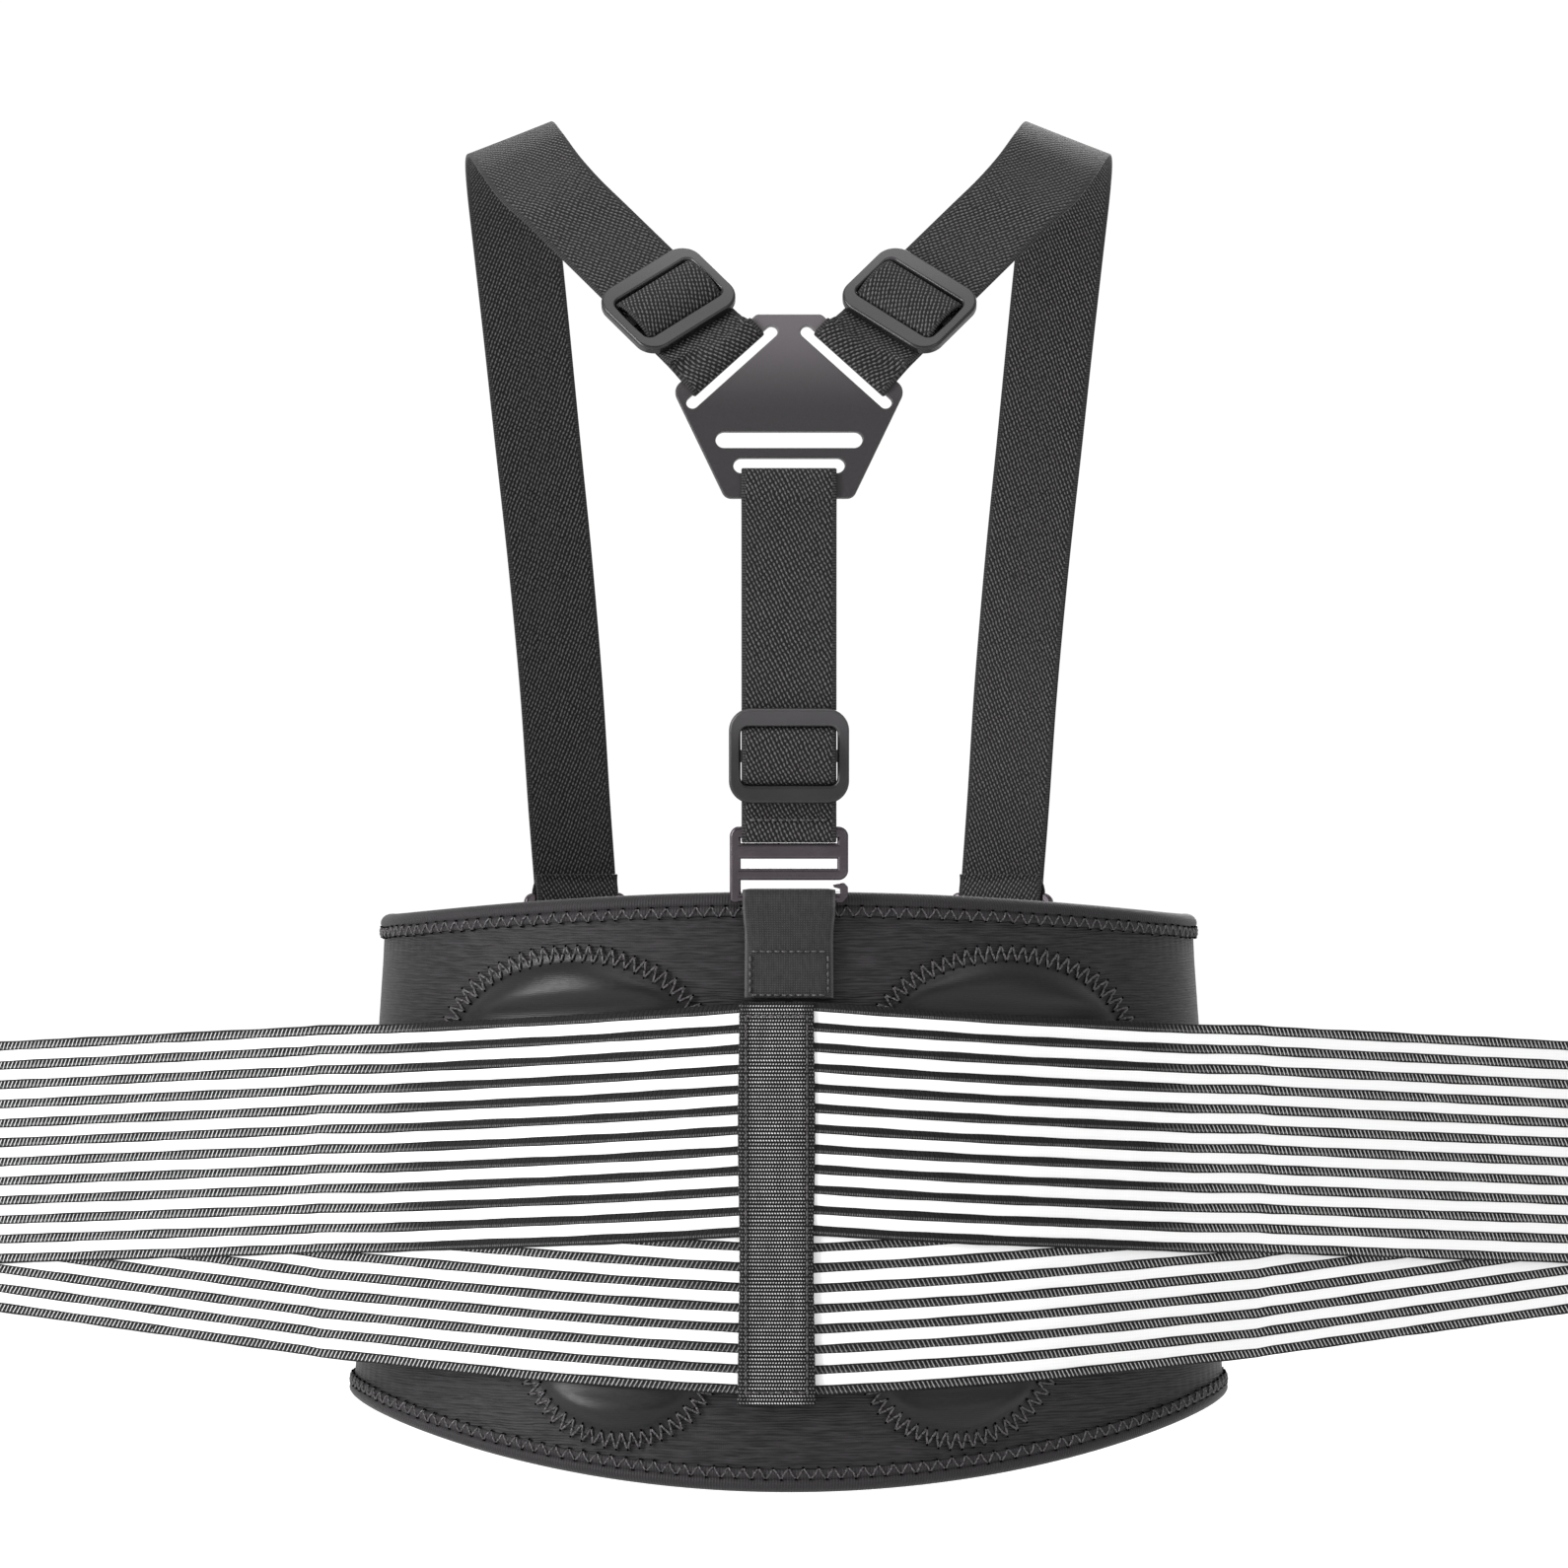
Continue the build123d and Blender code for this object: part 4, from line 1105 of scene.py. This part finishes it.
def pull_tabs():
    outline = rounded_box(tab_start, tab_start + tab_length, tab_z - tab_height / 2, tab_z + tab_height / 2,
                          (22, 22, 3, 3))
    patch_outline = rounded_box(tab_start + 16, tab_start + 100, tab_z - 44, tab_z + 44, (8, 8, 8, 8))
    arch_at = tab_start + 40 + 28
    arch = [(-35, 3.0), (-27, 3.0), (-23.5, 5.2), (-18, 11.5), (-10, 17.6), (0, 20.0), (10, 17.6), (18, 11.5),
            (23.5, 5.2), (27, 3.0), (35, 3.0)]
    for side in ("right", "left"):
        left = side == "left"
        body = side + "_tab"
        piece = Piece(mirror=left)
        disc(piece, outline, bound_rim, on_tab, bands=((6.0, 1), (99.0, 0)), crown=0.35)
        for face in (-1, 1):
            zigzag_ring(piece, outline, face * 2.3, on_tab, face * pull_out)
        tab = piece.make(side + "_pull_tab_cloth", finishes["neoprene"], finishes["binding"],
                         finishes["thread"])
        settle(tab, body, "neoprene", side + "_pull_tab")
        patch = Piece(mirror=left)
        disc(patch, patch_outline, thin_rim, lambda x, z, t: on_tab(x, z, t * 1.1 - 2.95))
        patch_line = np.vstack([inset(patch_outline, 2.5), inset(patch_outline, 2.5)[:1]])
        patch.dashes(on_tab(patch_line[:, 0], patch_line[:, 1], np.full(len(patch_line), -3.5)), -pull_out)
        hooks = patch.make(side + "_tab_hook_tape", finishes["hook_tape"], finishes["thread"])
        settle(hooks, body, "hook_tape", side + "_tab_hook_patch")
        loop = Piece(mirror=left)
        rows = smooth_path([(x, h, 0) for x, h in arch], 1.2)
        path = on_tab(arch_at + rows[:, 0], np.full(len(rows), tab_z), rows[:, 1])
        loop.ribbon(path, np.broadcast_to([0.0, 0.0, 1.0], path.shape), 25.0, 1.5)
        for end in (-1, 1):
            for x in (26.5, 33.0):
                height = tab_z + np.linspace(-10.5, 10.5, 9)
                line = on_tab(np.full(9, arch_at + end * x), height, np.full(9, 3.85))
                loop.dashes(line, pull_out, pitch=2.4)
        strap = loop.make(side + "_finger_loop_webbing", finishes["webbing"], finishes["thread"])
        settle(strap, body, "webbing", side + "_finger_loop")


# --- Front closure ---
def on_front(middle_layer):
    """Placement on the front of the belt; middle_layer gives the layer at each x."""
    def place(x, z, t):
        layer = middle_layer(x) + t
        return waist_point(front_angle(x, z, layer), z, layer)
    return place


def closure():
    low, high = front_bottom + 4, front_top - 4

    def flap_middle(x):
        return flap_seam_layer + (flap_layer - flap_seam_layer) * ease(x, flap_from + 2, flap_from + 18)

    outline = rounded_box(flap_from, flap_to, low, high, (18, 18, 3, 3))
    place = on_front(flap_middle)
    piece = Piece()
    rim = [(d, h * 0.72) for d, h in bound_rim]
    disc(piece, outline, rim, place, bands=((6.0, 1), (99.0, 0)), steps=22)
    seam = even_outline(outline, 1.5)
    zigzag_ring(piece, outline, 1.65, place, waist_out(front_angle(seam[:, 0], seam[:, 1], flap_layer)))
    flap = piece.make("closure_flap_cloth", finishes["neoprene"], finishes["binding"], finishes["thread"])
    front = girth(0, 8)[1]
    bend(flap, ("brace", "closure"), (-60, front, 0), (-46, front, 0), "neoprene", "closure_flap")
    tapes = (("flap_hook_tape", "flap_hook_patch", "closure", (-14, 52), 8, flap_patch_layer, 20),
             ("landing_loop_tape", "landing_patch", "brace", (-38, 74), 6, landing_layer, 24))
    for name, node, body, sides, corner, layer, steps in tapes:
        patch = Piece()
        patch_outline = rounded_box(*sides, low + 8, high - 8, [corner] * 4)
        disc(patch, patch_outline, thin_rim, on_front(lambda x: layer + 0 * x), steps=steps)
        kind = name.split("_", 1)[1]
        settle(patch.make(name, finishes[kind]), body, kind, node)


# --- Harness ---
def hook_plane(x, z, side):
    """Plane at the middle of a hook's bar: x along the bar, y up, z away from the wearer."""
    half_width, half_depth = girth(z, eye_layer)
    y = side * half_depth * math.sqrt(1 - (x / half_width) ** 2)
    turn = math.atan2(x / half_width ** 2, y / half_depth ** 2)
    level = math.cos(hook_lean)
    normal = (math.sin(turn) * level, math.cos(turn) * level, -math.sin(hook_lean))
    return Plane((x, y, z), (-math.cos(turn), math.sin(turn), 0.0), normal)


back_plane = hook_plane(0.0, back_hook_z, -1)
front_plane = hook_plane(front_hook_x, front_hook_z, 1)
yoke_plane = Plane(yoke_at, (1, 0, 0), (0, -math.cos(yoke_tilt), math.sin(yoke_tilt)))
slot_plane = Plane(yoke_plane.at(*slant_slot_at, 0),
                   yoke_plane.x * math.sin(slant_angle) - yoke_plane.y * math.cos(slant_angle), yoke_plane.z)
strap_run = np.array([math.cos(shoulder_climb), math.sin(shoulder_climb) * math.sin(shoulder_tilt),
                      math.sin(shoulder_climb) * math.cos(shoulder_tilt)])
strap_edge = np.array([-math.sin(shoulder_climb), math.cos(shoulder_climb) * math.sin(shoulder_tilt),
                       math.cos(shoulder_climb) * math.cos(shoulder_tilt)])
rim_end = slot_plane.at(0, rim_outer + 1.5, -1.3)
straight_from = rim_end + strap_run * straight_start
back_slider_plane = Plane(back_plane.at(0, slider_rest, 0), back_plane.x, back_plane.z)
shoulder_slider_plane = Plane(straight_from + strap_run * shoulder_slider_rest, -strap_edge,
                              -np.cross(strap_edge, strap_run))

# Doubled webbing of a belt loop: height from the hook's bar and distance out from its middle.
loop_section = [(-40.0, -3.1), (-30.0, -3.1), (-18.0, -3.05), (-9.0, -3.0), (-4.0, -3.0), (-1.0, -2.95),
                (1.6, -2.45), (2.9, -0.7), (2.9, 0.7), (1.6, 2.45), (-1.0, 2.95), (-4.0, 2.6), (-9.0, 0.9),
                (-14.0, -0.9), (-19.0, -1.75), (-30.0, -1.8), (-40.0, -1.8)]


def belt_loop(name, plane, mirror=False):
    """Webbing loop that holds a hook's bar, sewn down over the belt's edge tape."""
    rows = smooth_path([(h, n, 0) for h, n in loop_section], 0.8)
    height, level = rows[:, 0], rows[:, 1]
    out = unit(plane.z * np.array([1, 1, 0]))
    theta = math.atan2(plane.origin[0] / girth(plane.origin[2], eye_layer)[0],
                       -plane.origin[1] / girth(plane.origin[2], eye_layer)[1])
    hang = 1 - ease(height, -14, -3)
    z = plane.origin[2] + height
    layer = eye_layer + level
    base = waist_point(theta, z, layer)
    bar = plane.origin + height[:, None] * np.array([0, 0, 1.0]) + level[:, None] * out
    middle = bar + (base - bar) * hang[:, None]
    chord = waist_point(theta + 0.01, 0, eye_layer) - waist_point(theta - 0.01, 0, eye_layer)
    per_angle = np.linalg.norm(chord) / 0.02
    sign = np.sign(np.dot(chord, plane.x))
    half, thin, columns = loop_width / 2, 0.6, 14
    across = np.linspace(-half, half, columns)
    flat = middle[:, None] + across[None, :, None] * plane.x
    curved = waist_point(theta + sign * across[None, :] / per_angle, z[:, None], layer[:, None])
    lie = (flat + (curved - flat) * hang[:, None, None])
    run = unit(np.gradient(middle, axis=0))
    face = np.cross(plane.x, run)
    thickness = thin * (0.25 + 0.75 * np.sqrt(1 - (np.abs(across) / half) ** 12))
    outer = lie + face[:, None] * thickness[None, :, None]
    inner = lie - face[:, None] * thickness[None, :, None]
    piece = Piece(mirror=mirror)
    piece.slab(outer, inner, on_cloth(lengths(middle), across))

    def on_loop(side_place, drop):
        """Point on the loop's outer face, a distance across and a height below the bar."""
        level_here = np.interp(drop, [p[0] for p in loop_section[:9:-1]], [p[1] for p in loop_section[:9:-1]])
        angle = theta + sign * side_place / per_angle
        return waist_point(angle, plane.origin[2] + drop, eye_layer + level_here + 0.8)

    for drop in (-21.5, -39.0):
        piece.dashes(on_loop(np.linspace(-15.5, 15.5, 12), np.full(12, drop)), out, pitch=2.9)
    for side_place in (-16.2, 16.2):
        piece.dashes(on_loop(np.full(12, side_place), np.linspace(-38.0, -22.5, 12)), out, pitch=2.9)
    made = piece.make(name + "_webbing", finishes["webbing"], finishes["thread"])
    settle(made, "brace", "webbing", name)


def stations(plane, places, edge):
    """Rows of a point and an edge direction, from (height, distance out) places on a plane."""
    return [np.concatenate([plane.at(0, h, n), edge]) for h, n in places]


# Webbing round a hook's top bar: height over the lower bar and distance out.
hook_turn = [(40, -1.75), (33.5, -2.1), (29.5, -2.75), (25, -2.8), (23.4, -2.0), (22.8, 0.0), (23.4, 2.0),
             (25, 2.8), (29.3, 2.7), (31.2, 1.6), (33.0, 0.45), (36, 0.05)]


def end_stitches(plane):
    """Line of stitches that closes a strap's end round its hook."""
    return plane.at(np.linspace(-end_stitch_half, end_stitch_half, 12), end_stitch_height, 2.95)


def centre_strap():
    """One length of webbing: round the hook's top bar, up the back and over the yoke's lower rim."""
    edge = back_plane.x
    rows = stations(back_plane, [(62, -1.75), (50, -1.75)] + hook_turn + [(48, 0)], edge)
    rows += stations(back_plane, [(70, 0), (95, 0), (120, 0), (142, 0), (151, 0.1), (155.5, 1.1)], edge)
    rows += stations(yoke_plane, [(-14, 1.0), (-9, 1.15), (-4.6, 1.1), (-2.3, 0.4), (-1.7, -1.3),
                                  (-2.4, -3.0), (-4.6, -3.65), (-10, -3.6)], edge)
    rows += stations(back_plane, [(158, -2.6), (153, -1.9), (147, -1.6)], edge)
    rows = smooth_path(rows, 0.9)
    piece = Piece()
    piece.ribbon(rows[:, :3], rows[:, 3:], strap_width, strap_thickness - 0.2)
    piece.dashes(end_stitches(back_plane), back_plane.z, pitch=2.9)
    strap = piece.make("centre_strap_webbing", finishes["twill"], finishes["thread"])
    bend(strap, ("back_clip", "brace"), back_plane.at(0, 28, 0), back_plane.at(0, 38, 0), "webbing",
         "centre_strap", "back_end_loop")


def shoulder_straps():
    """One length each: through the yoke's slanted slot, over the shoulder and round the front hook's bar."""
    rows = stations(shoulder_slider_plane, [(-15, -1.6), (-21, -1.7), (-26, -2.2)], strap_edge)
    rows += stations(slot_plane, [(9.5, -3.75), (4.6, -3.7), (2.6, -3.0), (1.9, -1.3), (2.6, 0.4), (4.6, 1.1),
                                  (7.5, 1.2), (10.5, 0.9)], -slot_plane.x)
    shoulder_out = -np.cross(strap_edge, strap_run)
    for distance, lift in ((-3.5, 1.25), (0, 0.4), (4, 0.0), (12, 0.0), (30, 0.0), (50, 0.0), (72, 0.0),
                           (straight_length, 0.0)):
        rows.append(np.concatenate([straight_from + strap_run * distance + shoulder_out * lift, strap_edge]))
    rows += [np.concatenate([point, unit(tilt)]) for point, tilt in over_shoulder]
    turn = [(h, n) for h, n in hook_turn[::-1] if h < 38]
    rows += stations(front_plane, turn + [(36.5, -2.7)], front_plane.x)
    rows = smooth_path(rows, 1.1)
    for side in ("right", "left"):
        piece = Piece(mirror=side == "left")
        piece.ribbon(rows[:, :3], rows[:, 3:], strap_width, strap_thickness - 0.2)
        piece.dashes(end_stitches(front_plane), front_plane.z, pitch=2.9)
        strap = piece.make(side + "_shoulder_strap_webbing", finishes["twill"], finishes["thread"])
        bend(strap, (side + "_front_clip", "brace"), signed(front_plane.at(0, 30, 0), side),
             signed(front_plane.at(0, 52, 0), side), "webbing",
             side + "_shoulder_strap", side + "_front_end_loop")


# Webbing over a slider's middle bar: place along the strap and distance out.
fold_section = [(-11.2, 0.3), (-10.3, 1.9), (-7.5, 3.7), (-3.5, 5.0), (1.0, 5.5), (5.5, 5.1), (8.8, 3.6),
                (10.6, 1.6), (11.1, 0.3)]


def slider_fold(name, plane, body, mirror=False):
    """Webbing that bulges up through a slider's window, over its middle bar."""
    rows = smooth_path([(y, n + slider_lift, 0) for y, n in fold_section], 0.6)
    path = plane.at(0, rows[:, 0], rows[:, 1])
    piece = Piece(mirror=mirror)
    piece.ribbon(path, np.broadcast_to(plane.x, path.shape), loop_width, 1.4)
    settle(piece.make(name + "_webbing", finishes["twill"]), body, "webbing", name)


# Finishes of the pieces that keep their CAD shape, by how their names end.
hard_finishes = {"slider": "plastic", "hook": "metal", "yoke_plate": "yoke", "stay": "steel"}


def harness():
    belt_loop("back_loop", back_plane)
    belt_loop("right_front_loop", front_plane)
    belt_loop("left_front_loop", front_plane, mirror=True)
    centre_strap()
    shoulder_straps()
    slider_fold("back_slider_fold", back_slider_plane, "back_adjuster")
    slider_fold("right_shoulder_slider_fold", shoulder_slider_plane, "right_adjuster")
    slider_fold("left_shoulder_slider_fold", shoulder_slider_plane, "left_adjuster", mirror=True)
    for name, node in cad.items():
        for ending, finish in hard_finishes.items():
            if name.endswith(ending):
                node.data.materials.clear()
                node.data.materials.append(finishes[finish])


# --- Stage, light and camera ---
def stage():
    floor_z = cad_bounds[0][2] - 0.14
    reach = 4.0
    mesh = bpy.data.meshes.new("floor")
    corners = [(x * reach, y * reach, floor_z) for x, y in ((-1, -1), (1, -1), (1, 1), (-1, 1))]
    mesh.from_pydata(corners, [], [[0, 1, 2, 3]])
    shade = Shader("floor", 0.9)
    mesh.materials.append(shade.finish(shade.between(shade.noise(300.0, solid=True), "#f4f4f4", "#fafafa")))
    floor = bpy.data.objects.new("floor", mesh)
    bpy.context.scene.collection.objects.link(floor)


def area_light(name, place, target, width, height, power):
    data = bpy.data.lights.new(name, "AREA")
    data.shape = "RECTANGLE"
    data.size, data.size_y = width, height
    data.energy = power
    light = bpy.data.objects.new(name, data)
    bpy.context.scene.collection.objects.link(light)
    aim(light, place, target)


def aim(thing, place, target):
    thing.location = place
    direction = Vector(target) - Vector(place)
    thing.rotation_euler = direction.to_track_quat("-Z", "Y").to_euler()


def studio_world():
    """Soft white surround, half as bright behind the camera as behind the brace."""
    world = bpy.data.worlds.new("studio")
    world.use_nodes = True
    nodes, links = world.node_tree.nodes, world.node_tree.links
    place = nodes.new("ShaderNodeTexCoord")
    parts = nodes.new("ShaderNodeSeparateXYZ")
    level = nodes.new("ShaderNodeMapRange")
    level.inputs["From Min"].default_value, level.inputs["From Max"].default_value = -0.3, 0.7
    level.inputs["To Min"].default_value, level.inputs["To Max"].default_value = 0.5, 1.02
    links.new(place.outputs["Generated"], parts.inputs[0])
    links.new(parts.outputs[1], level.inputs["Value"])
    nodes["Background"].inputs[0].default_value = (1.0, 1.0, 1.0, 1.0)
    links.new(level.outputs[0], nodes["Background"].inputs[1])
    bpy.context.scene.world = world


def light_and_camera():
    studio_world()
    middle = (0.0, 0.0, 0.15)
    area_light("key", (-2.3, -1.6, 1.0), middle, 0.8, 2.2, 84.0)
    area_light("fill", (1.6, -2.2, 0.7), middle, 1.6, 1.6, 10.0)
    area_light("top", (0.0, -0.6, 2.3), middle, 1.6, 1.6, 18.0)
    area_light("front", (0.6, 2.4, 1.4), middle, 1.8, 1.8, 30.0)
    camera = bpy.data.objects.new("camera", bpy.data.cameras.new("camera"))
    camera.data.lens = 144.1
    camera.data.sensor_width = 36.0
    bpy.context.scene.collection.objects.link(camera)
    back_face, distance, level = -0.13, 2.5, 0.163
    aim(camera, (-0.002, back_face - distance, level), (-0.002, back_face, level))
    bpy.context.scene.camera = camera
    bpy.context.scene.view_settings.view_transform = "Standard"


light_and_camera()
belt()
edge_binding("top_binding", True)
edge_binding("bottom_binding", False)
pads()
bands()
spine_strip()
pull_tabs()
closure()
harness()
stage()
